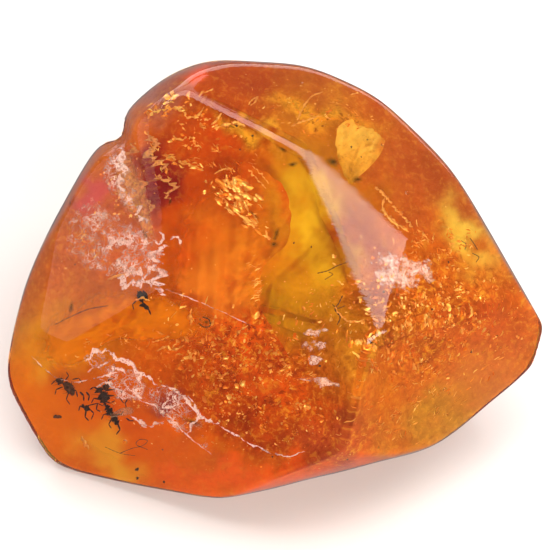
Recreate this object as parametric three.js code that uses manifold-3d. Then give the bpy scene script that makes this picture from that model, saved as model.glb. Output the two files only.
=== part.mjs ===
// A polished nugget of clear amber that holds broken insect remains.
//
// The resin set as one piece, so the nugget is one solid. Its shape is the one a grinder leaves: an
// outline of short flats round the girdle, a dozen larger flats ground across the front and the back,
// a worn groove between its two lobes, and one true flat that it rests on.
//
// Lengths are millimetres and angles are degrees. +Z is up, +X runs along the nugget to its pointed
// end, and the origin is on the resting face, under the middle of the nugget.
import * as THREE from "three";
import { mergeVertices } from "three/addons/utils/BufferGeometryUtils.js";
import Module from "manifold-3d";

// The girdle is the plane of the widest outline. It rises from the front edge to the back edge.
// In it, "across" runs along +X and "upslope" runs up to the back edge; "out" stands square on it.
const GIRDLE_LEAN = 40;
// The heart is the point inside that every flat is measured from.
const HEART = new THREE.Vector3(0.01, 0.86, 11.8);

// Flats round the girdle: direction of each, anticlockwise from across, and its distance from the heart.
const GIRDLE_FLATS = [
  [2, 22.5],
  [30, 16.65],
  [46, 16.15],
  [66, 16.6],
  [86, 17.1],
  [105, 18.2],
  [122, 18.25],
  [139, 17.7],
  [152, 17.7],
  [166, 19.3],
  [180, 22.1],
  [196, 23.3],
  [213, 23.6],
  [235, 22.9],
  [260, 18.3],
  [284, 16.35],
  [309, 18.65],
  [326, 21.5],
];
const FRONT_SWELL = 16;
const BACK_SWELL = 13;

// Ground flats: the way each leans off "out", by how much, and its distance from the heart.
const GROUND_FLATS = {
  centre: [117, 12, 11.4],
  top: [72, 46, 14.25],
  band: [47, 25.5, 12.7],
  upperRight: [45, 43, 13.1],
  middleRight: [24, 36.5, 13.7],
  lowerRight: [322, 48, 15.5],
  lowerMiddle: [239, 24.7, 12.2],
  bottom: [239, 48, 15.0],
  left: [165, 30, 13.7],
  leftEdge: [168, 58, 17.9],
  lowerLeft: [207, 42, 16.7],
  backTop: [80, 128, 13.6],
  backRight: [10, 132, 14.2],
  backLeft: [178, 130, 15.0],
};

// How crisp the edges are: a higher power leaves a tighter roll between two flats.
const GIRDLE_CRISPNESS = 50;
const SWELL_CRISPNESS = 2.4;
const EDGE_CRISPNESS = 60;

// The groove between the lobes: its course across and upslope, from the girdle down the front.
const GROOVE_COURSE = [
  [-14.0, 12.9],
  [-12.4, 11.2],
  [-11.4, 8.6],
  [-10.4, 5.6],
  [-9.7, 2.2],
  [-9.2, -0.8],
];
const GROOVE_DEPTH = 1.15;
const GROOVE_HALF_WIDTH = 1.2;
const GROOVE_BACK_END = -5;
const GROOVE_BACK_FADE = 1.2;

// Each of the 20 faces of the starting ball is split this often along an edge.
const BALL_DETAIL = 17;

const radians = THREE.MathUtils.degToRad;
const LEAN = radians(GIRDLE_LEAN);
const ACROSS = new THREE.Vector3(1, 0, 0);
const UPSLOPE = new THREE.Vector3(0, Math.cos(LEAN), Math.sin(LEAN));
const OUT = new THREE.Vector3(0, -Math.sin(LEAN), Math.cos(LEAN));

const girdleFlats = GIRDLE_FLATS.map(([angle, distance]) => ({
  across: Math.cos(radians(angle)) / distance,
  upslope: Math.sin(radians(angle)) / distance,
}));

const groundFlats = Object.values(GROUND_FLATS).map(([direction, lean, distance]) =>
  new THREE.Vector3()
    .addScaledVector(ACROSS, Math.sin(radians(lean)) * Math.cos(radians(direction)))
    .addScaledVector(UPSLOPE, Math.sin(radians(lean)) * Math.sin(radians(direction)))
    .addScaledVector(OUT, Math.cos(radians(lean)))
    .divideScalar(distance),
);

// The soft maximum of some reaches: their largest, rounded off where two of them nearly agree.
function softMax(reaches, crispness) {
  const largest = Math.max(...reaches, 1e-9);
  const sum = reaches.reduce((total, reach) => total + Math.max(reach / largest, 0) ** crispness, 0);
  return largest * sum ** (1 / crispness);
}

// How far the nugget reaches from its heart along a unit direction, before the groove is worn in.
function groundReach(direction) {
  const across = direction.dot(ACROSS);
  const upslope = direction.dot(UPSLOPE);
  const out = direction.dot(OUT);
  const girdle = softMax(
    girdleFlats.map((flat) => across * flat.across + upslope * flat.upslope),
    GIRDLE_CRISPNESS,
  );
  const swell = Math.abs(out) / (out > 0 ? FRONT_SWELL : BACK_SWELL);
  const body = softMax([girdle, swell], SWELL_CRISPNESS);
  return 1 / softMax([body, ...groundFlats.map((flat) => direction.dot(flat))], EDGE_CRISPNESS);
}

// Depth of the groove at a point of the surface: deepest at the girdle, gone at the end of its course.
function grooveDepth(point) {
  const here = new THREE.Vector2(point.dot(ACROSS), point.dot(UPSLOPE));
  let nearest = Infinity;
  let along = 0;
  for (let i = 0; i + 1 < GROOVE_COURSE.length; i++) {
    const start = new THREE.Vector2(...GROOVE_COURSE[i]);
    const step = new THREE.Vector2(...GROOVE_COURSE[i + 1]).sub(start);
    const t = THREE.MathUtils.clamp(here.clone().sub(start).dot(step) / step.lengthSq(), 0, 1);
    const distance = here.distanceTo(start.addScaledVector(step, t));
    if (distance < nearest) {
      nearest = distance;
      along = (i + t) / (GROOVE_COURSE.length - 1);
    }
  }
  const taper = (1 - along) ** 1.4;
  const fade = 1 / (1 + Math.exp((GROOVE_BACK_END - point.dot(OUT)) / GROOVE_BACK_FADE));
  return GROOVE_DEPTH * taper * fade * Math.exp(-((nearest / GROOVE_HALF_WIDTH) ** 2));
}

// A closed three.js geometry as a solid that can be cut.
function solidFrom(wasm, geometry) {
  const bare = geometry.clone();
  bare.deleteAttribute("normal");
  bare.deleteAttribute("uv");
  const merged = mergeVertices(bare, 1e-4);
  return new wasm.Manifold(
    new wasm.Mesh({
      numProp: 3,
      vertProperties: merged.attributes.position.array,
      triVerts: new Uint32Array(merged.index.array),
    }),
  );
}

// A solid as a three.js geometry again.
function geometryFrom(solid) {
  const mesh = solid.getMesh();
  const geometry = new THREE.BufferGeometry();
  geometry.setAttribute("position", new THREE.BufferAttribute(mesh.vertProperties, 3));
  geometry.setIndex(new THREE.BufferAttribute(mesh.triVerts, 1));
  geometry.computeVertexNormals();
  return geometry;
}

// The ball pushed out to the ground surface, with the groove worn in.
function nuggetSkin() {
  const ball = new THREE.IcosahedronGeometry(1, BALL_DETAIL);
  const position = ball.attributes.position;
  const point = new THREE.Vector3();
  for (let i = 0; i < position.count; i++) {
    const direction = point.fromBufferAttribute(position, i).normalize().clone();
    const reach = groundReach(direction);
    const worn = grooveDepth(direction.clone().multiplyScalar(reach));
    point.copy(direction).multiplyScalar(reach - worn).add(HEART);
    position.setXYZ(i, point.x, point.y, point.z);
  }
  return ball;
}

// What is ground away under the nugget, which leaves the flat that it rests on.
function groundAwayBelow() {
  const size = 60;
  return new THREE.BoxGeometry(size, size, size).translate(0, 0, -size / 2);
}

const wasm = await Module();
wasm.setup();

const nugget = solidFrom(wasm, nuggetSkin()).subtract(solidFrom(wasm, groundAwayBelow()));

const amber = new THREE.MeshStandardMaterial({ color: 0xc85a10, roughness: 0.08, metalness: 0 });
const amberNugget = new THREE.Mesh(geometryFrom(nugget), amber);
amberNugget.name = "amber_nugget";

const insectInAmber = new THREE.Group();
insectInAmber.add(amberNugget);

export default insectInAmber;
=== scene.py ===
"""Insect in amber: a polished nugget, what is sealed in it, and the stage it is shown on.

Run as a script, this builds everything. The layout is an add-on's: settings, one operator for each
piece or group of like pieces, one for the stage, and a sidebar panel that lists them.

Inside the nugget, places are given on its girdle, the leaning plane of its widest outline: "across"
runs along +X, "upslope" to the high back edge, and "out" square to the plane, towards the polished
front. All three are counted from the heart, the point that the nugget's flats are measured from.
"""

import math

import bpy
import numpy as np
from mathutils import Matrix, Vector


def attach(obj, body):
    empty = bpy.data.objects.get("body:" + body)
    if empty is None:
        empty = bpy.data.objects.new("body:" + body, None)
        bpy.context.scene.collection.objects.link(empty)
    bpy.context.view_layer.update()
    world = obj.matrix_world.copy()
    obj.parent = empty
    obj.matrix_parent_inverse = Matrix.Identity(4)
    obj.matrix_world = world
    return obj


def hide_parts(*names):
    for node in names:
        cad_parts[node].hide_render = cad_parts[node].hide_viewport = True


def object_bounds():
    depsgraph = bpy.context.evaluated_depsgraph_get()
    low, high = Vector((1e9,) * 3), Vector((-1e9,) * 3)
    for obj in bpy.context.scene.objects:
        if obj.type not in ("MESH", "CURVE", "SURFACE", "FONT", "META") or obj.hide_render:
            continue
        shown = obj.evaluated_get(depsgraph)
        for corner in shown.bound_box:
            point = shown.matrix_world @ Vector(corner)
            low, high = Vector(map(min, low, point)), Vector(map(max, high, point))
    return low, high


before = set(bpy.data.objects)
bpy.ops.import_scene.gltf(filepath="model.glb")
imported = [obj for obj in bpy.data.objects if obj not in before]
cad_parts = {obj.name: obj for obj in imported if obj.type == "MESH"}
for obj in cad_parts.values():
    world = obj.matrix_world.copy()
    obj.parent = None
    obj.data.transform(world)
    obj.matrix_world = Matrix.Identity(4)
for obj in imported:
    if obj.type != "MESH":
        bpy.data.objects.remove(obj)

CAD_LOW, CAD_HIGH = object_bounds()
MM = 0.001

bl_info = {
    "name": "Insect in Amber",
    "version": (1, 0, 0),
    "blender": (4, 5, 0),
    "location": "3D View > Sidebar > Amber",
    "description": "Builds a polished amber nugget with broken insect remains sealed in it",
    "category": "Add Mesh",
}

# ---------------------------------------------------------------------------------------------
# The nugget's ground surface
# ---------------------------------------------------------------------------------------------

GIRDLE_LEAN = math.radians(40)
ACROSS = np.array([1.0, 0.0, 0.0])
UPSLOPE = np.array([0.0, math.cos(GIRDLE_LEAN), math.sin(GIRDLE_LEAN)])
OUT = np.array([0.0, -math.sin(GIRDLE_LEAN), math.cos(GIRDLE_LEAN)])
GIRDLE_AXES = np.stack([ACROSS, UPSLOPE, OUT])

# The heart, from the middle of the resting flat's box, in mm.
HEART = np.array([
    (CAD_LOW[0] + CAD_HIGH[0]) / 2 / MM + 0.01,
    (CAD_LOW[1] + CAD_HIGH[1]) / 2 / MM + 0.86,
    CAD_LOW[2] / MM + 11.8,
])

# Flats round the girdle: direction in degrees from across, and distance from the heart in mm.
GIRDLE_FLATS = np.array([
    (2, 22.5), (30, 16.65), (46, 16.15), (66, 16.6), (86, 17.1), (105, 18.2),
    (122, 18.25), (139, 17.7), (152, 17.7), (166, 19.3), (180, 22.1), (196, 23.3),
    (213, 23.6), (235, 22.9), (260, 18.3), (284, 16.35), (309, 18.65), (326, 21.5),
])
FRONT_SWELL = 16.0
BACK_SWELL = 13.0

# Ground flats: the way each leans off "out", by how much, and its distance from the heart in mm.
GROUND_FLATS = {
    "centre": (117, 12, 11.4),
    "top": (72, 46, 14.25),
    "band": (45, 28, 12.86),
    "upper_right": (45, 43, 13.3),
    "middle_right": (24, 36.5, 13.95),
    "lower_right": (322, 48, 15.5),
    "lower_middle": (239, 24.7, 12.2),
    "bottom": (239, 48, 15.0),
    "left": (165, 30, 13.7),
    "left_edge": (168, 58, 17.9),
    "lower_left": (207, 42, 16.7),
    "back_top": (80, 128, 13.6),
    "back_right": (10, 132, 14.2),
    "back_left": (178, 130, 15.0),
}
GIRDLE_CRISPNESS = 50
SWELL_CRISPNESS = 2.4
EDGE_CRISPNESS = 120

# The worn groove between the lobes: its course, across and upslope in mm, from the girdle down.
GROOVE_COURSE = np.array([
    (-14.0, 12.9), (-12.4, 11.2), (-11.4, 8.6), (-10.4, 5.6), (-9.7, 2.2), (-9.2, -0.8),
])
GROOVE_DEPTH = 1.15
GROOVE_HALF_WIDTH = 1.2
GROOVE_BACK_END = -5.0
GROOVE_BACK_FADE = 1.2


def soft_max(reaches, crispness):
    """The largest of the reaches, rounded off where two nearly agree: a power mean without the mean."""
    largest = np.maximum(reaches.max(-1), 1e-9)
    shares = np.maximum(reaches / largest[..., None], 0)
    return largest * (shares ** crispness).sum(-1) ** (1 / crispness)


def lean_normals(rows):
    """Unit normals, on the girdle's axes, of flats given as (direction, lean, distance) in degrees."""
    direction, lean = np.radians(rows[:, 0]), np.radians(rows[:, 1])
    return np.stack([
        np.sin(lean) * np.cos(direction), np.sin(lean) * np.sin(direction), np.cos(lean),
    ], -1)


def ground_reach(direction):
    """How far the nugget reaches from its heart in mm, before the groove, along unit directions on the
    girdle's axes: one over the soft largest of the ground flats' and the swollen girdle's shares."""
    angle = np.radians(GIRDLE_FLATS[:, 0])
    girdle_normals = np.stack([np.cos(angle), np.sin(angle)]) / GIRDLE_FLATS[:, 1]
    girdle = soft_max(direction[..., :2] @ girdle_normals, GIRDLE_CRISPNESS)
    out = direction[..., 2]
    swell = np.abs(out) / np.where(out > 0, FRONT_SWELL, BACK_SWELL)
    body = soft_max(np.stack([girdle, swell], -1), SWELL_CRISPNESS)
    rows = np.array(list(GROUND_FLATS.values()), float)
    flats = direction @ (lean_normals(rows) / rows[:, 2:]).T
    return 1 / soft_max(np.concatenate([body[..., None], flats], -1), EDGE_CRISPNESS)


def groove_depth(point):
    """Depth of the groove in mm: a bell across its course, tapering to nothing along it."""
    here = point[..., :2]
    nearest = np.full(here.shape[:-1], 1e9)
    along = np.zeros(here.shape[:-1])
    steps = len(GROOVE_COURSE) - 1
    for i in range(steps):
        start, step = GROOVE_COURSE[i], GROOVE_COURSE[i + 1] - GROOVE_COURSE[i]
        t = np.clip((here - start) @ step / (step @ step), 0, 1)
        distance = np.linalg.norm(here - start - t[..., None] * step, axis=-1)
        closer = distance < nearest
        nearest = np.where(closer, distance, nearest)
        along = np.where(closer, (i + t) / steps, along)
    fade = 1 / (1 + np.exp((GROOVE_BACK_END - point[..., 2]) / GROOVE_BACK_FADE))
    return GROOVE_DEPTH * (1 - along) ** 1.4 * fade * np.exp(-((nearest / GROOVE_HALF_WIDTH) ** 2))


def polish_ripple(point):
    """The faint unevenness that hand polishing leaves, in mm: three crossing waves a few mm long."""
    a, b, c = point[..., 0], point[..., 1], point[..., 2]
    return 0.012 * (
        np.sin(1.1 * a + 0.7 * b + 0.4)
        + np.sin(-0.6 * a + 1.3 * c + 2.1)
        + np.sin(0.9 * b - 1.2 * c + 0.8 * a)
    )


def skin_reach(direction):
    """Distance in mm from the heart to the finished skin along unit directions on the girdle's axes."""
    reach = ground_reach(direction)
    point = direction * reach[..., None]
    reach = reach - groove_depth(point) + polish_ripple(point)
    down = -(direction @ GIRDLE_AXES[:, 2])
    resting = (HEART[2] - CAD_LOW[2] / MM) / np.maximum(down, 1e-6)
    return np.minimum(reach, np.where(down > 0, resting, np.inf))


def to_frame(point):
    """Points on the girdle's axes from the heart, in mm, as places in the frame, in metres."""
    return (point @ GIRDLE_AXES + HEART) * MM


# ---------------------------------------------------------------------------------------------
# Places inside the nugget
# ---------------------------------------------------------------------------------------------

EYE_DISTANCE = 420.0
AMBER_IOR = 1.54
INSIDE_MARGIN = 0.12


def skin_gap(point):
    """How far points, in mm from the heart, stand outside the skin, measured along their own rays."""
    radius = np.maximum(np.linalg.norm(point, axis=-1), 1e-6)
    return radius - skin_reach(point / radius[..., None])


def sight_entry(across, upslope):
    """Where lines of sight to girdle places meet the polished front, and how they run inside.

    Each line starts at the viewer, EYE_DISTANCE out from the heart. Even steps find the first stretch
    of it that goes in, or else its nearest pass, and halving finds where it meets the skin; the slope
    of skin_gap there gives the face, and Snell's law the direction inside."""
    eye = np.array([0.0, 0.0, EYE_DISTANCE])
    target = np.stack([across, upslope, np.zeros_like(across)], -1)
    line = (target - eye) / np.linalg.norm(target - eye, axis=-1, keepdims=True)
    stations, stride = np.linspace(EYE_DISTANCE - 16, EYE_DISTANCE + 8, 22, retstep=True)
    far = np.full(across.shape, stations[0])
    least = np.full(across.shape, 1e9)
    for station in stations:
        gap = skin_gap(eye + line * station)
        better = (least > 0) & (gap < least)
        far = np.where(better, station, far)
        least = np.where(better, gap, least)
    near = far - stride
    for _ in range(13):
        middle = (near + far) / 2
        inside = skin_gap(eye + line * middle[..., None]) < 0
        far = np.where(inside, middle, far)
        near = np.where(inside, near, middle)
    entry = eye + line * far[..., None]
    step = 0.15
    slope = np.stack([
        skin_gap(entry + step * axis) - skin_gap(entry - step * axis) for axis in np.eye(3)
    ], -1)
    face = slope / np.linalg.norm(slope, axis=-1, keepdims=True)
    cosine = -(line * face).sum(-1, keepdims=True)
    bent = np.sqrt(np.maximum(1 - (1 - cosine ** 2) / AMBER_IOR ** 2, 0))
    return entry, face, line / AMBER_IOR + (cosine / AMBER_IOR - bent) * face


def outline_reach(turn):
    """How far out the nugget's outline is seen from its heart, by turn: the farthest of its skin's
    places at a fan of heights, each as the viewer sees it against the girdle."""
    height = np.radians(np.linspace(-35, 20, 34))[:, None]
    direction = np.stack([
        np.cos(height) * np.cos(turn), np.cos(height) * np.sin(turn), np.sin(height) + 0 * turn], -1)
    point = direction * skin_reach(direction)[..., None]
    return (np.hypot(point[..., 0], point[..., 1]) * EYE_DISTANCE / (EYE_DISTANCE - point[..., 2])).max(0)


def run_inside(entry, inward):
    """How far in mm lines that enter the nugget run before they leave it, by halving."""
    near = np.zeros(entry.shape[:-1])
    far = np.full(entry.shape[:-1], 45.0)
    for _ in range(14):
        middle = (near + far) / 2
        inside = skin_gap(entry + inward * middle[..., None]) < 0
        near = np.where(inside, middle, near)
        far = np.where(inside, far, middle)
    return near


def sealed(across, upslope, depth, deepest=0.6):
    """Points in mm from the heart that are seen at these girdle places, this deep behind the face, and
    never deeper than a share of the way through."""
    across, upslope, depth = np.broadcast_arrays(*[np.asarray(x, float) for x in (across, upslope, depth)])
    entry, _, inward = sight_entry(across, upslope)
    return entry + inward * np.minimum(depth, deepest * run_inside(entry, inward))[..., None]


def kept_inside(point, margin=INSIDE_MARGIN):
    """Points in mm drawn in along their rays from the heart to lie at least the margin inside."""
    radius = np.maximum(np.linalg.norm(point, axis=-1), 1e-6)
    limit = skin_reach(point / radius[..., None]) - margin
    return point * np.minimum(1, limit / radius)[..., None]


def grid_faces(rows, columns, closed=False):
    """Quads of a grid of rows by columns, whose columns join up again where closed."""
    last = columns if closed else columns - 1
    r, c = [g.ravel() for g in np.meshgrid(np.arange(rows - 1), np.arange(last), indexing="ij")]
    turn = (c + 1) % columns
    corners = [r * columns + c, (r + 1) * columns + c, (r + 1) * columns + turn, r * columns + turn]
    return np.stack(corners, -1)


def disc_grid(rings, sectors):
    """A disc from its centre point out: share of the radius and turn of each point, and its faces. The
    centre is one point, so the disc closes there."""
    share, turn = np.meshgrid(
        np.arange(1, rings + 1) / rings, np.arange(sectors) * 2 * math.pi / sectors, indexing="ij"
    )
    share = np.concatenate([[0.0], share.ravel()])
    turn = np.concatenate([[0.0], turn.ravel()])
    start = np.arange(sectors)
    fan = np.stack([np.zeros(sectors, int), 1 + start, 1 + (start + 1) % sectors], -1)
    return share, turn, fan.tolist() + (grid_faces(rings, sectors, closed=True) + 1).tolist()


def joined(parts):
    """Several (points, faces) as one: the faces are counted on past the points before them."""
    points, faces, count = [], [], 0
    for part_points, part_faces in parts:
        points.append(part_points)
        faces += [[i + count for i in face] for face in part_faces]
        count += len(part_points)
    return np.concatenate(points), faces


def tube(path, radii, sides=8, flat=1.0):
    """A closed tube: a ring of the given radius square to the path at each of its points, made flatter
    or fuller towards the viewer by flat, and one point to close each end."""
    path = np.asarray(path, float)
    along = np.gradient(path, axis=0)
    along /= np.maximum(np.linalg.norm(along, axis=1, keepdims=True), 1e-9)
    first = np.cross(along, (0, 0, 1))
    first /= np.maximum(np.linalg.norm(first, axis=1, keepdims=True), 1e-9)
    second = flat * np.cross(along, first)
    turn = np.arange(sides) * 2 * math.pi / sides
    radii = np.broadcast_to(radii, len(path))[:, None, None]
    ring = first[:, None] * np.cos(turn)[:, None] + second[:, None] * np.sin(turn)[:, None]
    rings = (path[:, None] + radii * ring).reshape(-1, 3)
    reach = 0.5 * radii[[0, -1], 0]
    tips = np.stack([path[0] - along[0] * reach[0], path[-1] + along[-1] * reach[1]])
    body = grid_faces(len(path), sides, closed=True)[:, ::-1]
    count = len(rings)
    start = np.arange(sides)
    after = (start + 1) % sides
    last = count - sides
    head = np.stack([np.full(sides, count), after, start], -1)
    tail = np.stack([np.full(sides, count + 1), last + start, last + after], -1)
    return np.concatenate([rings, tips]), body.tolist() + head.tolist() + tail.tolist()


def smooth_path(points, count, closed=False):
    """A path through given points, rounded at each: cubic stretches with even slopes (Catmull-Rom)."""
    points = np.asarray(points, float)
    if closed:
        padded = np.concatenate([points[-1:], points, points[:2]])
        t = np.arange(count) * len(points) / count
    else:
        padded = np.concatenate([2 * points[:1] - points[1:2], points, 2 * points[-1:] - points[-2:-1]])
        t = np.linspace(0, len(points) - 1 - 1e-9, count)
    i = t.astype(int)
    f = (t - i)[:, None]
    p0, p1, p2, p3 = padded[i], padded[i + 1], padded[i + 2], padded[i + 3]
    return 0.5 * (
        2 * p1 + (p2 - p0) * f + (2 * p0 - 5 * p1 + 4 * p2 - p3) * f ** 2
        + (3 * p1 - p0 - 3 * p2 + p3) * f ** 3
    )


def cloudy(a, b, length, seed, octaves=4):
    """Cloudy unevenness, about -1 to 1: in each octave six plane waves in seeded directions, and each
    octave half as long and 0.6 times as high as the one before."""
    rng = np.random.default_rng(seed)
    total = np.zeros_like(a)
    height = 0.42
    for _ in range(octaves):
        for way, phase in rng.uniform(0, 2 * math.pi, (6, 2)):
            along = a * math.cos(way) + b * math.sin(way)
            total = total + height * np.sin(along * 2 * math.pi / length + phase)
        length = length / 2
        height = height * 0.6
    return total


def turned(a, b, degrees):
    """Flat places turned anticlockwise."""
    angle = math.radians(degrees)
    return a * math.cos(angle) - b * math.sin(angle), a * math.sin(angle) + b * math.cos(angle)


def set_in(shape, centre, depth, lean=0.0):
    """A small shape, modelled in mm flat on the girdle with z towards the viewer: turned by lean, and
    sunk in the resin so that its origin is seen at the centre, this deep."""
    a, b = turned(shape[:, 0], shape[:, 1], lean)
    return kept_inside(sealed(centre[0] + a, centre[1] + b, depth - shape[:, 2]), 0.05)


# ---------------------------------------------------------------------------------------------
# Mesh and material helpers
# ---------------------------------------------------------------------------------------------

def add_piece(name, points, faces, material, smooth=True, attributes=None):
    """A finished mesh object from places in metres and faces, with its material, riding on the part.
    An attribute of one number a point is a float; of four, a colour."""
    mesh = bpy.data.meshes.new(name)
    mesh.from_pydata(points.tolist(), [], faces if isinstance(faces, list) else faces.tolist())
    for key, values in (attributes or {}).items():
        kind, field = ("FLOAT", "value") if values.ndim == 1 else ("FLOAT_COLOR", "color")
        layer = mesh.attributes.new(key, kind, "POINT")
        layer.data.foreach_set(field, np.ascontiguousarray(values, np.float32).ravel())
    mesh.validate()
    mesh.shade_smooth() if smooth else mesh.shade_flat()
    mesh.materials.append(material)
    piece = bpy.data.objects.new(name, mesh)
    bpy.context.scene.collection.objects.link(piece)
    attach(piece, "root")
    return piece


def hex_colour(code):
    """An sRGB hex colour as linear red, green, blue and alpha."""
    parts = [int(code[i:i + 2], 16) / 255 for i in (1, 3, 5)]
    return (*[c / 12.92 if c <= 0.04045 else ((c + 0.055) / 1.055) ** 2.4 for c in parts], 1.0)


def new_material(name):
    """An empty node material: the material, its tree and its output node."""
    material = bpy.data.materials.get(name)
    if material is not None:
        bpy.data.materials.remove(material)
    material = bpy.data.materials.new(name)
    material.use_nodes = True
    tree = material.node_tree
    tree.nodes.clear()
    return material, tree, add_node(tree, "ShaderNodeOutputMaterial")


def add_node(tree, kind, settings=None, inputs=None):
    """Adds a node, sets its settings by name, and sets or links its inputs by name or number."""
    node = tree.nodes.new(kind)
    for key, value in (settings or {}).items():
        setattr(node, key, value)
    for key, value in (inputs or {}).items():
        if isinstance(value, bpy.types.NodeSocket):
            tree.links.new(value, node.inputs[key])
        else:
            node.inputs[key].default_value = value
    return node


def through_resin(code, depth, resin):
    """The pigment that looks like this hex colour from outside: the colour over the share of light that
    the amber lets through, down and back up."""
    absorbed = (1 - np.array(resin.absorption[:3])) * resin.density * MM
    seen = np.array(hex_colour(code)[:3])
    pigment = np.minimum(seen / np.exp(-2 * absorbed * depth), LIGHTEST_PIGMENT)
    return np.append(pigment, 1.0)


# ---------------------------------------------------------------------------------------------
# Settings
# ---------------------------------------------------------------------------------------------

LIGHTEST_PIGMENT = 0.92


class AmberResinSettings(bpy.types.PropertyGroup):
    """The clear resin and its polish"""
    absorption: bpy.props.FloatVectorProperty(
        name="Absorption colour", description="The colour that thick resin tends to",
        size=4, subtype="COLOR", min=0, max=1, default=(0.94, 0.75, 0.15, 1.0))
    density: bpy.props.FloatProperty(
        name="Absorption density", description="How fast the colour deepens, per metre",
        default=115.0, min=0.0)
    reflection: bpy.props.FloatVectorProperty(
        name="Reflection tint", description="Colour of the polish's reflections seen square on",
        size=4, subtype="COLOR", min=0, max=1, default=(0.64, 0.62, 0.6, 1.0))
    polish: bpy.props.FloatProperty(
        name="Polish roughness", description="Roughness of the polished skin",
        default=0.03, min=0.0, max=1.0, subtype="FACTOR")
    worn: bpy.props.FloatProperty(
        name="Worn roughness", description="Roughness where the groove is not polished",
        default=0.25, min=0.0, max=1.0, subtype="FACTOR")


class AmberInclusionSettings(bpy.types.PropertyGroup):
    """What is sealed in the resin"""
    spangle_count: bpy.props.FloatProperty(
        name="Spangle amount", description="Share of the full number of sun spangles",
        default=1.0, min=0.0, max=2.0, subtype="FACTOR")
    spangle_size: bpy.props.FloatProperty(
        name="Spangle size", description="Size of the spangles over the modelled size",
        default=1.0, min=0.2, max=3.0, subtype="FACTOR")
    spangle_deep: bpy.props.FloatVectorProperty(
        name="Spangle deep colour", description="Colour of the darkest spangles",
        size=4, subtype="COLOR", min=0, max=1, default=hex_colour("#F08A1C"))
    spangle_bright: bpy.props.FloatVectorProperty(
        name="Spangle bright colour", description="Colour of the brightest spangles",
        size=4, subtype="COLOR", min=0, max=1, default=hex_colour("#FFE27A"))
    crack_colour: bpy.props.FloatVectorProperty(
        name="Crazing colour", description="Colour of the air-filled cracks",
        size=4, subtype="COLOR", min=0, max=1, default=hex_colour("#FFE8DA"))
    cuticle_dark: bpy.props.FloatVectorProperty(
        name="Cuticle colour", description="Colour of the thick insect cuticle",
        size=4, subtype="COLOR", min=0, max=1, default=hex_colour("#140B06"))
    cuticle_thin: bpy.props.FloatVectorProperty(
        name="Thin cuticle colour", description="Colour of the cuticle where it is thin",
        size=4, subtype="COLOR", min=0, max=1, default=hex_colour("#5A3010"))


class AmberStageSettings(bpy.types.PropertyGroup):
    """Lights and camera"""
    eye_distance: bpy.props.FloatProperty(
        name="Camera distance", description="From the camera to the heart of the nugget",
        default=EYE_DISTANCE * MM, min=0.1, unit="LENGTH")
    view_width: bpy.props.FloatProperty(
        name="View width", description="Width of what the camera frames at the nugget",
        default=44 * MM, min=0.01, unit="LENGTH")
    sky: bpy.props.FloatProperty(
        name="Room light", description="Strength of the even light from all round",
        default=0.28, min=0.0)


# ---------------------------------------------------------------------------------------------
# Materials
# ---------------------------------------------------------------------------------------------

def let_through(tree, output, shader, colour, share, cover):
    """Finishes a thin milky or flaky layer: part of its light comes through from behind, and where its
    cover is under 1 it is partly clear."""
    glow = add_node(tree, "ShaderNodeBsdfTranslucent", inputs={"Color": colour})
    body = add_node(tree, "ShaderNodeMixShader", inputs={
        0: share, 1: shader.outputs[0], 2: glow.outputs[0]})
    clear = add_node(tree, "ShaderNodeBsdfTransparent")
    add_node(tree, "ShaderNodeMixShader", inputs={0: cover, 1: clear.outputs[0], 2: body.outputs[0]})
    tree.links.new(tree.nodes[-1].outputs[0], output.inputs["Surface"])


def amber_material(resin):
    """Baltic amber, tumbled and hand polished: clear resin that takes off blue at once, green in a
    centimetre or two and hardly any red, so thin places are honey and thick ones deep orange. The
    groove was left unpolished, and rubbing left fine slanting scratches on one front facet."""
    material, tree, output = new_material("polished_baltic_amber")
    place = add_node(tree, "ShaderNodeTexCoord").outputs["Object"]
    worn = add_node(tree, "ShaderNodeAttribute", {"attribute_name": "worn"}).outputs["Fac"]
    dull = add_node(tree, "ShaderNodeMapRange", inputs={
        "Value": worn, "From Min": 0.1, "From Max": 0.6, "To Min": resin.polish, "To Max": resin.worn})
    # Scratches 0.25 mm apart and about 4 mm long: the real ones are finer, and would not show.
    course = add_node(tree, "ShaderNodeMapping", inputs={
        "Vector": place, "Rotation": (0.3, 0.5, math.radians(-38)), "Scale": (220, 4000, 900)})
    scratches = add_node(tree, "ShaderNodeTexNoise", inputs={
        "Vector": course.outputs[0], "Scale": 1.0, "Detail": 3.0, "Roughness": 0.65})
    scratched = add_node(tree, "ShaderNodeAttribute", {"attribute_name": "scratched"}).outputs["Fac"]
    bump = add_node(tree, "ShaderNodeBump", inputs={
        "Strength": scratched, "Distance": 0.015 * MM, "Height": scratches.outputs[0]})
    shader = add_node(tree, "ShaderNodeBsdfPrincipled", inputs={
        "Base Color": (1, 1, 1, 1),
        "Roughness": dull.outputs[0],
        "IOR": AMBER_IOR,
        "Transmission Weight": 1.0,
        "Specular Tint": tuple(resin.reflection),
        "Normal": bump.outputs[0],
    })
    absorption = add_node(tree, "ShaderNodeVolumeAbsorption", inputs={
        "Color": tuple(resin.absorption),
        "Density": resin.density,
    })
    tree.links.new(shader.outputs[0], output.inputs["Surface"])
    tree.links.new(absorption.outputs[0], output.inputs["Volume"])
    return material


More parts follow.
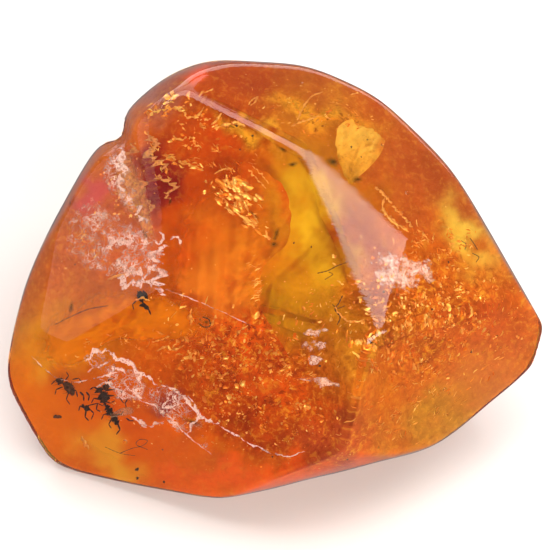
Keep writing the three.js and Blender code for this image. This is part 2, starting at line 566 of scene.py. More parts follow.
def flow_material(name, cover, cloud_mm=1.8, speck_mm=0.5):
    """Milky resin where flows met, full of gas pores: it glows softly and hides what is behind. Its
    colour comes with the mesh, clouded at two sizes; where it is crumbly it breaks into golden and dark
    crumbs, and it thins out to nothing over its rim."""
    material, tree, output = new_material(name)
    place = add_node(tree, "ShaderNodeTexCoord").outputs["Object"]
    cloud = add_node(tree, "ShaderNodeTexNoise", inputs={
        "Vector": place, "Scale": 1 / (cloud_mm * MM), "Detail": 5.0, "Roughness": 0.6, "Distortion": 0.9})
    speck = add_node(tree, "ShaderNodeTexNoise", inputs={
        "Vector": place, "Scale": 1 / (speck_mm * MM), "Detail": 5.0, "Roughness": 0.7, "Distortion": 0.5})
    pigment = add_node(tree, "ShaderNodeAttribute", {"attribute_name": "pigment"}).outputs["Color"]
    crumbly = add_node(tree, "ShaderNodeAttribute", {"attribute_name": "crumbly"}).outputs["Fac"]
    rim = add_node(tree, "ShaderNodeAttribute", {"attribute_name": "rim"}).outputs["Fac"]
    contrast = add_node(tree, "ShaderNodeMath", {"operation": "MULTIPLY_ADD"}, {0: crumbly, 1: 2.2, 2: 0.15})
    off_middle = add_node(tree, "ShaderNodeMath", {"operation": "SUBTRACT"}, {0: cloud.outputs[0], 1: 0.5})
    value = add_node(tree, "ShaderNodeMath", {"operation": "MULTIPLY_ADD"}, {
        0: off_middle.outputs[0], 1: contrast.outputs[0], 2: 1.0})
    clouded = add_node(tree, "ShaderNodeHueSaturation", inputs={"Color": pigment, "Value": value.outputs[0]})
    gold_share = add_node(tree, "ShaderNodeMath", {"operation": "MULTIPLY"}, {
        0: crumbly,
        1: add_node(tree, "ShaderNodeMapRange", inputs={
            "Value": speck.outputs[0], "From Min": 0.52, "From Max": 0.62}).outputs[0]})
    dark_share = add_node(tree, "ShaderNodeMath", {"operation": "MULTIPLY"}, {
        0: crumbly,
        1: add_node(tree, "ShaderNodeMapRange", inputs={
            "Value": speck.outputs[0], "From Min": 0.46, "From Max": 0.36}).outputs[0]})
    golden = add_node(tree, "ShaderNodeMix", {"data_type": "RGBA"}, {
        "Factor": gold_share.outputs[0], 6: clouded.outputs[0], 7: hex_colour("#F4B83C")})
    mottled = add_node(tree, "ShaderNodeMix", {"data_type": "RGBA"}, {
        "Factor": dark_share.outputs[0], 6: golden.outputs[2], 7: hex_colour("#8A3408")})
    ragged = add_node(tree, "ShaderNodeMath", {"operation": "MULTIPLY_ADD"}, {
        0: cloud.outputs[0], 1: 0.4, 2: rim})
    fade = add_node(tree, "ShaderNodeMapRange", {"interpolation_type": "SMOOTHSTEP"}, {
        "Value": ragged.outputs[0], "From Min": 0.8, "From Max": 1.18, "To Min": cover, "To Max": 0.0})
    relief = add_node(tree, "ShaderNodeBump", inputs={
        "Strength": crumbly, "Distance": 0.12 * MM, "Height": speck.outputs[0]})
    shader = add_node(tree, "ShaderNodeBsdfPrincipled", inputs={
        "Base Color": mottled.outputs[2],
        "Roughness": 0.7,
        "Specular IOR Level": 0.0,
        "Normal": relief.outputs[0],
    })
    let_through(tree, output, shader, mottled.outputs[2], 0.25, fade.outputs[0])
    return material


def spangle_material(sealed_things):
    """Sun spangles: paper-thin stress cracks that mirror the light, from deep orange to pale gold."""
    material, tree, output = new_material("sun_spangle")
    shade = add_node(tree, "ShaderNodeAttribute", {"attribute_name": "shade"}).outputs["Fac"]
    colour = add_node(tree, "ShaderNodeMix", {"data_type": "RGBA"}, {
        "Factor": shade, 6: tuple(sealed_things.spangle_deep), 7: tuple(sealed_things.spangle_bright)})
    shader = add_node(tree, "ShaderNodeBsdfPrincipled", inputs={
        "Base Color": colour.outputs[2],
        "Metallic": 0.8,
        "Roughness": 0.28,
    })
    let_through(tree, output, shader, colour.outputs[2], 0.4, 1.0)
    return material


def crack_material(sealed_things, name, lace_mm, thread, veil, cover):
    """Crazing: crowded fine cracks with air in them just under the skin. White to pinkish threads run
    where either of two cloudy patterns passes its middle, over a faint veil; a third, coarser pattern
    gathers them in places, and they fray at the rim."""
    material, tree, output = new_material(name)
    place = add_node(tree, "ShaderNodeTexCoord").outputs["Object"]
    threads = []
    for length, detail in ((lace_mm, 5.0), (0.45 * lace_mm, 3.0)):
        cloud = add_node(tree, "ShaderNodeTexNoise", inputs={
            "Vector": place, "Scale": 1 / (length * MM), "Detail": detail,
            "Roughness": 0.62, "Distortion": 1.2})
        off_middle = add_node(tree, "ShaderNodeMath", {"operation": "SUBTRACT"}, {
            0: cloud.outputs[0], 1: 0.5})
        distance = add_node(tree, "ShaderNodeMath", {"operation": "ABSOLUTE"}, {0: off_middle.outputs[0]})
        threads.append(add_node(tree, "ShaderNodeMapRange", inputs={
            "Value": distance.outputs[0], "From Min": 0.4 * thread, "From Max": thread,
            "To Min": 1.0, "To Max": 0.0}).outputs[0])
    thread_share = add_node(tree, "ShaderNodeMath", {"operation": "MAXIMUM"}, {0: threads[0], 1: threads[1]})
    gather = add_node(tree, "ShaderNodeTexNoise", inputs={
        "Vector": place, "Scale": 1 / (2.2 * lace_mm * MM), "Detail": 4.0, "Roughness": 0.6})
    rim = add_node(tree, "ShaderNodeAttribute", {"attribute_name": "rim"}).outputs["Fac"]
    frayed = add_node(tree, "ShaderNodeMath", {"operation": "MULTIPLY_ADD"}, {
        0: add_node(tree, "ShaderNodeMath", {"operation": "POWER"}, {0: rim, 1: 3.0}).outputs[0],
        1: -0.25, 2: gather.outputs[0]})
    presence = add_node(tree, "ShaderNodeMapRange", inputs={
        "Value": frayed.outputs[0], "From Min": 0.34, "From Max": 0.5, "To Min": 0.0, "To Max": 1.0})
    veiled = add_node(tree, "ShaderNodeMapRange", inputs={
        "Value": thread_share.outputs[0], "To Min": veil, "To Max": cover})
    share = add_node(tree, "ShaderNodeMath", {"operation": "MULTIPLY"}, {
        0: veiled.outputs[0], 1: presence.outputs[0]})
    colour = add_node(tree, "ShaderNodeMix", {"data_type": "RGBA"}, {
        "Factor": thread_share.outputs[0],
        6: hex_colour("#D88C6C"), 7: tuple(sealed_things.crack_colour)})
    shader = add_node(tree, "ShaderNodeBsdfPrincipled", inputs={
        "Base Color": colour.outputs[2],
        "Roughness": 0.6,
        "Specular IOR Level": 0.1,
    })
    let_through(tree, output, shader, colour.outputs[2], 0.3, share.outputs[0])
    return material


def cuticle_material(sealed_things):
    """Insect cuticle, charred in the resin: near black, brown where it is thin, slightly glossy."""
    material, tree, output = new_material("charred_cuticle")
    place = add_node(tree, "ShaderNodeTexCoord").outputs["Object"]
    mottle = add_node(tree, "ShaderNodeTexNoise", inputs={
        "Vector": place, "Scale": 1 / (0.35 * MM), "Detail": 3.0, "Roughness": 0.6})
    thin = add_node(tree, "ShaderNodeAttribute", {"attribute_name": "thin"}).outputs["Fac"]
    share = add_node(tree, "ShaderNodeMath", {"operation": "MULTIPLY"}, {0: mottle.outputs[0], 1: thin})
    colour = add_node(tree, "ShaderNodeMix", {"data_type": "RGBA"}, {
        "Factor": share.outputs[0],
        6: tuple(sealed_things.cuticle_dark), 7: tuple(sealed_things.cuticle_thin)})
    pits = add_node(tree, "ShaderNodeBump", inputs={
        "Strength": 0.5, "Distance": 0.03 * MM, "Height": mottle.outputs[0]})
    shader = add_node(tree, "ShaderNodeBsdfPrincipled", inputs={
        "Base Color": colour.outputs[2],
        "Roughness": 0.5,
        "Specular IOR Level": 0.25,
        "Normal": pits.outputs[0],
    })
    tree.links.new(shader.outputs[0], output.inputs["Surface"])
    return material


def wing_material():
    """Insect wing membrane: a clear brownish film, seen mostly by its sheen and its veins."""
    material, tree, output = new_material("wing_membrane")
    shader = add_node(tree, "ShaderNodeBsdfPrincipled", inputs={
        "Base Color": hex_colour("#E8B890"),
        "Roughness": 0.3,
        "Alpha": 0.3,
    })
    tree.links.new(shader.outputs[0], output.inputs["Surface"])
    return material


def smudge_material():
    """Forest dust: fine plant mould and soil drifted into a soft greenish-grey cloud in the resin."""
    material, tree, output = new_material("forest_dust")
    place = add_node(tree, "ShaderNodeTexCoord").outputs["Object"]
    dust = add_node(tree, "ShaderNodeTexNoise", inputs={
        "Vector": place, "Scale": 1 / (0.6 * MM), "Detail": 5.0, "Roughness": 0.7})
    rim = add_node(tree, "ShaderNodeAttribute", {"attribute_name": "rim"}).outputs["Fac"]
    share = add_node(tree, "ShaderNodeMath", {"operation": "SUBTRACT"}, {0: dust.outputs[0], 1: rim})
    cover = add_node(tree, "ShaderNodeMapRange", {"interpolation_type": "SMOOTHSTEP"}, {
        "Value": share.outputs[0], "From Min": -0.3, "From Max": 0.6, "To Min": 0.0, "To Max": 0.85})
    shader = add_node(tree, "ShaderNodeBsdfPrincipled", inputs={
        "Base Color": hex_colour("#5A4A18"),
        "Roughness": 0.8,
        "Specular IOR Level": 0.0,
        "Alpha": cover.outputs[0],
    })
    tree.links.new(shader.outputs[0], output.inputs["Surface"])
    return material


def debris_material():
    """Rotted plant crumbs and a plant hair: dark brown, dull."""
    material, tree, output = new_material("rotted_plant")
    place = add_node(tree, "ShaderNodeTexCoord").outputs["Object"]
    mottle = add_node(tree, "ShaderNodeTexNoise", inputs={
        "Vector": place, "Scale": 1 / (0.25 * MM), "Detail": 4.0})
    colour = add_node(tree, "ShaderNodeMix", {"data_type": "RGBA"}, {
        "Factor": mottle.outputs[0], 6: hex_colour("#170D06"), 7: hex_colour("#5C3A14")})
    shader = add_node(tree, "ShaderNodeBsdfPrincipled", inputs={
        "Base Color": colour.outputs[2],
        "Roughness": 0.75,
    })
    tree.links.new(shader.outputs[0], output.inputs["Surface"])
    return material


def bubble_material():
    """A gas bubble: nothing but a bend in the light, so a clear ball of another density than amber."""
    material, tree, output = new_material("gas_bubble")
    shader = add_node(tree, "ShaderNodeBsdfPrincipled", inputs={
        "Base Color": (1, 1, 1, 1),
        "Roughness": 0.0,
        "IOR": 1.25,
        "Transmission Weight": 1.0,
    })
    tree.links.new(shader.outputs[0], output.inputs["Surface"])
    return material


# ---------------------------------------------------------------------------------------------
# The nugget's skin
# ---------------------------------------------------------------------------------------------

SKIN_GRID = 121
SCRATCHED_FLAT = "band"
WORN_BUMPS = 0.05
WORN_BUMP_LENGTH = 0.9


def nugget_skin():
    """The nugget's surface: six square grids of a cube, swelled to a ball by tangents for even spacing,
    and each point moved out from the heart to skin_reach along its own direction. With it come how worn
    each point is, from the groove's depth, and how scratched, from how near it is to the scratched
    flat."""
    ramp = np.tan(np.linspace(-1, 1, SKIN_GRID) * math.pi / 4)
    a, b = [g.ravel() for g in np.meshgrid(ramp, ramp, indexing="ij")]
    one = np.ones_like(a)
    sides = [(one, a, b), (-one, b, a), (b, one, a), (a, -one, b), (a, b, one), (b, a, -one)]
    index = np.arange(SKIN_GRID ** 2).reshape(SKIN_GRID, SKIN_GRID)
    quads = np.stack([index[:-1, :-1], index[1:, :-1], index[1:, 1:], index[:-1, 1:]], -1).reshape(-1, 4)
    ball = np.concatenate([np.stack(side, -1) for side in sides])
    ball /= np.linalg.norm(ball, axis=1, keepdims=True)
    faces = np.concatenate([quads + i * SKIN_GRID ** 2 for i in range(len(sides))])
    _, first, again = np.unique(ball.round(7), axis=0, return_index=True, return_inverse=True)
    ball, faces = ball[first], again.ravel()[faces]
    reach = skin_reach(ball)
    point = ball * reach[:, None]
    worn = np.clip(groove_depth(point) / (0.5 * GROOVE_DEPTH), 0, 1)
    bumps = cloudy(point[:, 1], point[:, 2] + point[:, 0], WORN_BUMP_LENGTH, 31)
    reach = reach - WORN_BUMPS * worn * (1 + bumps)
    row = np.array([GROUND_FLATS[SCRATCHED_FLAT]], float)
    off_flat = row[0, 2] - point @ lean_normals(row)[0]
    return to_frame(ball * reach[:, None]), faces, worn, np.exp(-((off_flat / 0.3) ** 2))


# ---------------------------------------------------------------------------------------------
# Milky flows
# ---------------------------------------------------------------------------------------------

# Tints of the main flow: centre, half sizes, lean in degrees, the colour as it looks from outside,
# its strength, and how crumbly the resin is there. Most are the resin's own colours; two are painted
# shade under the band flat, and one is painted light along the bottom rim.
HEART_COLOUR = "#D0600C"
HEART_TINTS = [
    ((2.5, 15.4), (12.0, 2.6), -4, "#A4380F", 1.0, 0.1),
    ((-2.5, 12.8), (5.5, 2.2), -16, "#B04208", 0.9, 0.3),
    ((6.5, 12.6), (5.5, 2.0), -30, "#CC6A14", 0.8, 0.3),
    ((13.5, 8.6), (3.2, 6.5), 38, "#A8440F", 0.9, 0.2),
    ((9.8, 7.4), (2.6, 3.6), 35, "#B85218", 0.8, 0.2),
    ((-3.4, 9.8), (5.0, 2.2), -32, "#B83C05", 0.9, 0.2),
    ((-7.4, 5.2), (3.2, 5.0), 10, "#CC4404", 0.9, 0.05),
    ((-3.0, 1.6), (4.4, 4.0), 0, "#E27E12", 0.9, 0.05),
    ((-8.0, -2.6), (7.5, 2.6), -6, "#DC7408", 0.9, 0.0),
    ((-16.5, -4.6), (4.0, 3.0), 20, "#D6860F", 0.9, 0.1),
    ((-15.0, 3.4), (3.2, 5.5), -24, "#C05818", 0.8, 0.3),
    ((-9.4, 7.8), (1.5, 3.4), -14, "#841C16", 1.0, 0.2),
    ((-14.4, 6.6), (1.1, 1.5), -20, "#D0483C", 0.8, 0.0),
    ((4.2, 2.0), (3.7, 8.6), 12, "#C89C14", 1.0, -0.1),
    ((3.2, 4.2), (1.7, 3.0), 10, "#E4B824", 0.9, -0.1),
    ((0.6, -3.0), (1.7, 3.2), 12, "#B4860A", 0.9, 0.0),
    ((3.4, -6.6), (2.6, 2.0), 0, "#CC7C10", 0.8, 0.4),
    ((12.4, -3.2), (7.5, 4.6), -6, "#BC5A0E", 0.9, 1.0),
    ((17.6, -4.0), (3.6, 2.6), 10, "#C44E10", 0.9, 0.3),
    ((16.4, -9.2), (4.5, 3.6), 38, "#C46A24", 0.8, 0.1),
    ((12.2, -11.6), (3.8, 2.0), 22, "#B87818", 0.9, 0.4),
    ((-1.0, -8.8), (7.0, 3.6), -24, "#C84A04", 0.9, 0.8),
    ((-3.4, -11.6), (6.0, 1.8), -24, "#A83404", 0.8, 0.4),
    ((4.6, -13.0), (3.6, 1.8), 14, "#B24418", 0.8, 0.5),
    ((-12.5, -12.6), (7.0, 3.6), -22, "#E25C00", 0.9, 0.0),
    ((-18.0, -10.0), (2.4, 3.6), 24, "#DC6602", 0.8, 0.0),
    # Painted light: a bright orange-red band along the bottom rim, for the floor's light glowing through the
    # underside.
    ((-1.0, -16.2), (11.0, 1.2), 4, "#F85C10", 1.0, 0.1),
    ((-6.2, 16.7), (0.9, 0.7), -20, "#F0501C", 1.0, 0.0),
    # Painted shade: the next two tints darken the flow under the band flat, as the shade that lies under its
    # highlight.
    ((7.5, 2.0), (1.9, 4.6), 21, "#A84808", 1.0, 0.1),
    ((4.0, 8.6), (0.9, 2.0), 24, "#B06010", 0.7, 0.1),
    ((15.3, 3.1), (1.3, 2.5), 36, "#FFBC34", 1.0, 0.15),
    ((-17.8, -5.9), (1.7, 1.5), 10, "#E4981A", 0.8, 0.1),
    ((-13.2, -14.2), (2.8, 1.2), -42, "#FF9A1C", 0.95, 0.0),
    ((3.4, 13.1), (3.4, 0.7), -14, "#E89A1C", 0.9, 1.0),
    ((-8.8, -10.3), (1.7, 0.9), -35, "#74222C", 0.8, 0.1),
    ((-9.4, 13.8), (1.9, 1.3), 30, "#B06A44", 0.7, 0.3),
    ((-2.4, 11.8), (2.8, 0.55), -22, "#F4A822", 0.9, 1.0),
]

# The flow that lies over the left of the window, its own tints, and the run of its outline.
LOBE_COLOUR = "#D0560A"
LOBE_TINTS = [
    ((-7.4, 5.2), (3.2, 5.2), 10, "#CC4404", 0.9, 0.05),
    ((-4.4, 7.4), (4.0, 1.6), -30, "#CC560A", 0.8, 0.2),
    ((-2.8, 1.8), (4.0, 4.2), 0, "#E68618", 0.9, 0.05),
    ((-5.6, -1.2), (3.4, 2.4), 0, "#E07C1E", 0.8, 0.0),
    ((-1.4, -1.6), (1.4, 2.0), 0, "#F48E18", 0.9, 0.3),
    ((-2.2, -5.6), (3.6, 2.6), -20, "#D4560A", 0.9, 1.0),
    ((0.2, 4.8), (1.3, 3.2), 10, "#C87E10", 0.9, 0.1),
]
LOBE_OUTLINE = [
    (-4.0, 9.4), (-1.4, 8.8), (0.6, 7.4), (1.3, 5.2), (1.0, 2.8), (-0.3, 1.5), (-1.05, 0.5), (-1.15, -1.2),
    (-1.1, -3.2), (-0.2, -4.8), (1.0, -6.2), (1.2, -8.4), (-0.6, -9.6), (-3.8, -9.0), (-6.8, -6.8),
    (-9.0, -3.6), (-9.4, 0.4), (-8.8, 5.0), (-6.8, 8.4),
]

# Tints of the smaller flows, as for the main flow.
LEAF_TINTS = [
    ((8.6, 10.6), (0.7, 2.2), -10, "#D98224", 0.9, 0.2),
    ((6.2, 8.4), (1.0, 0.9), 0, "#B87A10", 0.8, 0.4),
    ((6.6, 11.4), (1.4, 0.9), 10, "#FFC24A", 0.8, 0.2),
]
# Smaller flows: outline, depth, colour, how crisp the rim is (1 crisp), and crumbliness.
SMALL_FLOWS = {
    "leaf": ([
        (4.9, 11.6), (5.6, 12.5), (7.0, 12.8), (8.2, 12.3), (8.9, 11.4), (8.5, 9.9), (7.6, 8.8), (6.7, 8.0),
        (6.0, 7.4), (5.4, 8.4), (4.9, 9.8),
    ], 2.8, "#F8B43A", 0.8, 0.2),
    "smooth_fold": ([
        (-19.6, -4.8), (-17.2, -2.6), (-14.6, -1.2), (-10.8, -0.9), (-7.6, -1.7), (-4.6, -3.2), (-5.6, -4.8),
        (-9.4, -5.2), (-13.0, -5.2), (-16.4, -7.4), (-19.2, -7.2),
    ], 1.9, "#E07C06", 0.25, 0.0),
}


def tinted(across, upslope, base, tints, resin, depth):
    """The pigment and crumbliness of a flow: from its base colour, each tint mixed in turn as a soft
    spot that is full in the middle and falls off past its half sizes, with cloudy edges."""
    a0 = across + 0.55 * cloudy(across, upslope, 5.0, 3)
    b0 = upslope + 0.55 * cloudy(across, upslope, 5.0, 4)
    pigment = np.tile(through_resin(base, depth, resin), (len(across), 1))
    crumbly = np.full(len(across), 0.15)
    for centre, half, lean, code, strength, crumbs in tints:
        a, b = turned(a0 - centre[0], b0 - centre[1], -lean)
        share = strength * np.exp(-(((a / half[0]) ** 2 + (b / half[1]) ** 2) ** 1.25) * 0.8)
        pigment += share[:, None] * (through_resin(code, depth, resin) - pigment)
        crumbly += share * (crumbs - crumbly)
    return pigment, crumbly


def smoothed(points, rings, sectors, times):
    """A disc grid's points, each averaged with its four neighbours, the given number of times: takes
    out the creases that refraction leaves where a sheet passes under an edge between two flats."""
    centre, body = points[:1], points[1:].reshape(rings, sectors, 3)
    for _ in range(times):
        inner = np.concatenate([np.broadcast_to(centre[None], (1, sectors, 3)), body[:-1]])
        outer = np.concatenate([body[1:], body[-1:]])
        body = (2 * body + inner + outer + np.roll(body, 1, 1) + np.roll(body, -1, 1)) / 6
    return np.concatenate([centre, body.reshape(-1, 3)])


HEART_RINGS = 84
HEART_SECTORS = 280
HEART_DEPTH = 5.5
WINDOW_DEPTH = 2.5
RIM_DEPTH = 0.2
HEART_SHARE = 0.999
BACK_SHARE = 0.95
BACK_DEPTH = 5.0

# Under the sharp low edge on the right the sheet rises: centre, lean and half sizes of the rise.
SEAM_CENTRE = (6.4, -9.0)
SEAM_LEAN = 14
SEAM_HALF = (6.0, 2.4)


def heart_sheet():
    """The main flow: a sheet as wide as the nugget, seen through all its front flats, that lies deeper
    under the window and folds by a few cloudy tenths of a millimetre."""
    share, turn, faces = disc_grid(HEART_RINGS, HEART_SECTORS)
    reach = np.concatenate([[0.0], np.tile(outline_reach(turn[1:1 + HEART_SECTORS]), HEART_RINGS)])
    reach = reach * HEART_SHARE * share
    across, upslope = reach * np.cos(turn), reach * np.sin(turn)
    window = np.exp(-(((across - 4.0) / 4.0) ** 2 + ((upslope - 1.0) / 8.0) ** 2))
    depth = HEART_DEPTH + WINDOW_DEPTH * window + 0.3 * cloudy(across, upslope, 6.0, 8)
    along, off = turned(upslope - SEAM_CENTRE[1], across - SEAM_CENTRE[0], SEAM_LEAN)
    depth = depth * (1 - 0.6 * np.exp(-((along / SEAM_HALF[0]) ** 2) - (off / SEAM_HALF[1]) ** 2))
    depth = depth * (1 - share ** 4) + RIM_DEPTH
    points = smoothed(sealed(across, upslope, depth, 0.5), HEART_RINGS, HEART_SECTORS, 4)
    return across, upslope, kept_inside(points, 0.05), faces, share


def outline_sheet(outline, depth, rings=30, sectors=150):
    """A flow with a drawn outline: rings of points that shrink from its smooth closed run towards its
    middle, each set as deep as asked with a little cloudy folding."""
    share, turn, faces = disc_grid(rings, sectors)
    run = smooth_path(outline, sectors, closed=True)
    run = run + 0.06 * cloudy(run[:, 0], run[:, 1], 1.2, 5)[:, None]
    middle = np.mean(outline, axis=0)
    flat = np.concatenate([middle[None], (middle + (np.arange(1, rings + 1) / rings)[:, None, None]
                                          * (run - middle)).reshape(-1, 2)])
    deep = depth + 0.3 * cloudy(flat[:, 0], flat[:, 1], 3.0, 9)
    points = sealed(flat[:, 0], flat[:, 1], deep, 0.42)
    return flat[:, 0], flat[:, 1], kept_inside(smoothed(points, rings, sectors, 2)), faces, share


def back_flow():
    """The milky flow that follows the nugget's back: a bowl whose rim lies just inside the girdle."""
    share, turn, faces = disc_grid(50, 160)
    direction = np.stack([np.cos(turn), np.sin(turn), np.zeros_like(turn)], -1)
    reach = skin_reach(direction) * BACK_SHARE * share
    across, upslope = reach * np.cos(turn), reach * np.sin(turn)
    out = -BACK_DEPTH * (1 - share ** 2) - 0.8 + 0.7 * cloudy(across, upslope, 9.0, 12)
    return across, upslope, kept_inside(np.stack([across, upslope, out], -1)), faces, share


# ---------------------------------------------------------------------------------------------
# Spangles
# ---------------------------------------------------------------------------------------------

# The way a flake faces, on the girdle's axes, when it mirrors light from overhead to the viewer.
CATCHING_LIGHT = np.array([0.09, 0.25, 1.0])


def scattered(rng, local, faces, places, depths, directions, lean_spread):
    """Many small shapes set in the resin: each is turned to its direction, leaned off CATCHING_LIGHT by
    a seeded amount about lean_spread wide, and put where its place is seen."""
    n, m = local.shape[:2]
    normal = CATCHING_LIGHT + np.tan(lean_spread) * rng.normal(0, 0.8, (n, 3)) * (1, 1, 0)
    normal /= np.linalg.norm(normal, axis=-1, keepdims=True)
    side = np.stack([np.cos(directions), np.sin(directions), np.zeros(n)], -1)
    side -= (side * normal).sum(-1, keepdims=True) * normal
    side /= np.linalg.norm(side, axis=-1, keepdims=True)
    axes = np.stack([side, np.cross(normal, side), normal], 1)
    points = np.einsum("nmi,nij->nmj", local, axes) + sealed(places[:, 0], places[:, 1], depths)[:, None]
    all_faces = [f for size in (3, 4) for f in (
        np.array([f for f in faces if len(f) == size], int).reshape(1, -1, size)
        + (np.arange(n) * m)[:, None, None]).reshape(-1, size).tolist()]
    return kept_inside(points.reshape(-1, 3), 0.06), all_faces, np.repeat(rng.beta(0.8, 0.9, n), m)


def flakes(rng, count, sizes, narrowness):
    """Thin domed flakes: a small uneven disc each, narrowed by its own share."""
    share, turn, faces = disc_grid(2, 9)
    uneven = 1 + 0.35 * rng.uniform(-1, 1, (count, len(share))) * (share > 0)
    x = share * np.cos(turn) * uneven
    y = share * np.sin(turn) * uneven * rng.uniform(*narrowness, (count, 1))
    z = 0.2 * (1 - share ** 2) * np.ones((count, 1))
    size = sizes[0] + (sizes[1] - sizes[0]) * rng.beta(0.8, 2.4, (count, 1, 1))
    return np.stack([x, y, z], -1) * size, faces


def slivers(rng, count, sizes, narrowness):
    """Thin bent strips: seven stations by three, narrowing to both ends and arched by their own bend."""
    s, w = [g.ravel() for g in np.meshgrid(np.linspace(-1, 1, 7), (-1.0, 0.0, 1.0), indexing="ij")]
    bend = rng.normal(0, 0.2, (count, 1))
    girth = rng.uniform(*narrowness, (count, 1)) * (1.02 - s ** 2)
    girth = girth * (1 + 0.5 * rng.uniform(-1, 1, (count, 21)))
    y = w * girth + bend * (s ** 2 - 0.4) + 0.07 * np.sin(3 * s + rng.uniform(0, 6, (count, 1)))
    z = 0.5 * (1 - w ** 2) * girth
    size = sizes[0] + (sizes[1] - sizes[0]) * rng.beta(0.9, 1.9, (count, 1, 1))
    return np.stack([s * np.ones_like(y), y, z], -1) * size, grid_faces(7, 3).tolist()


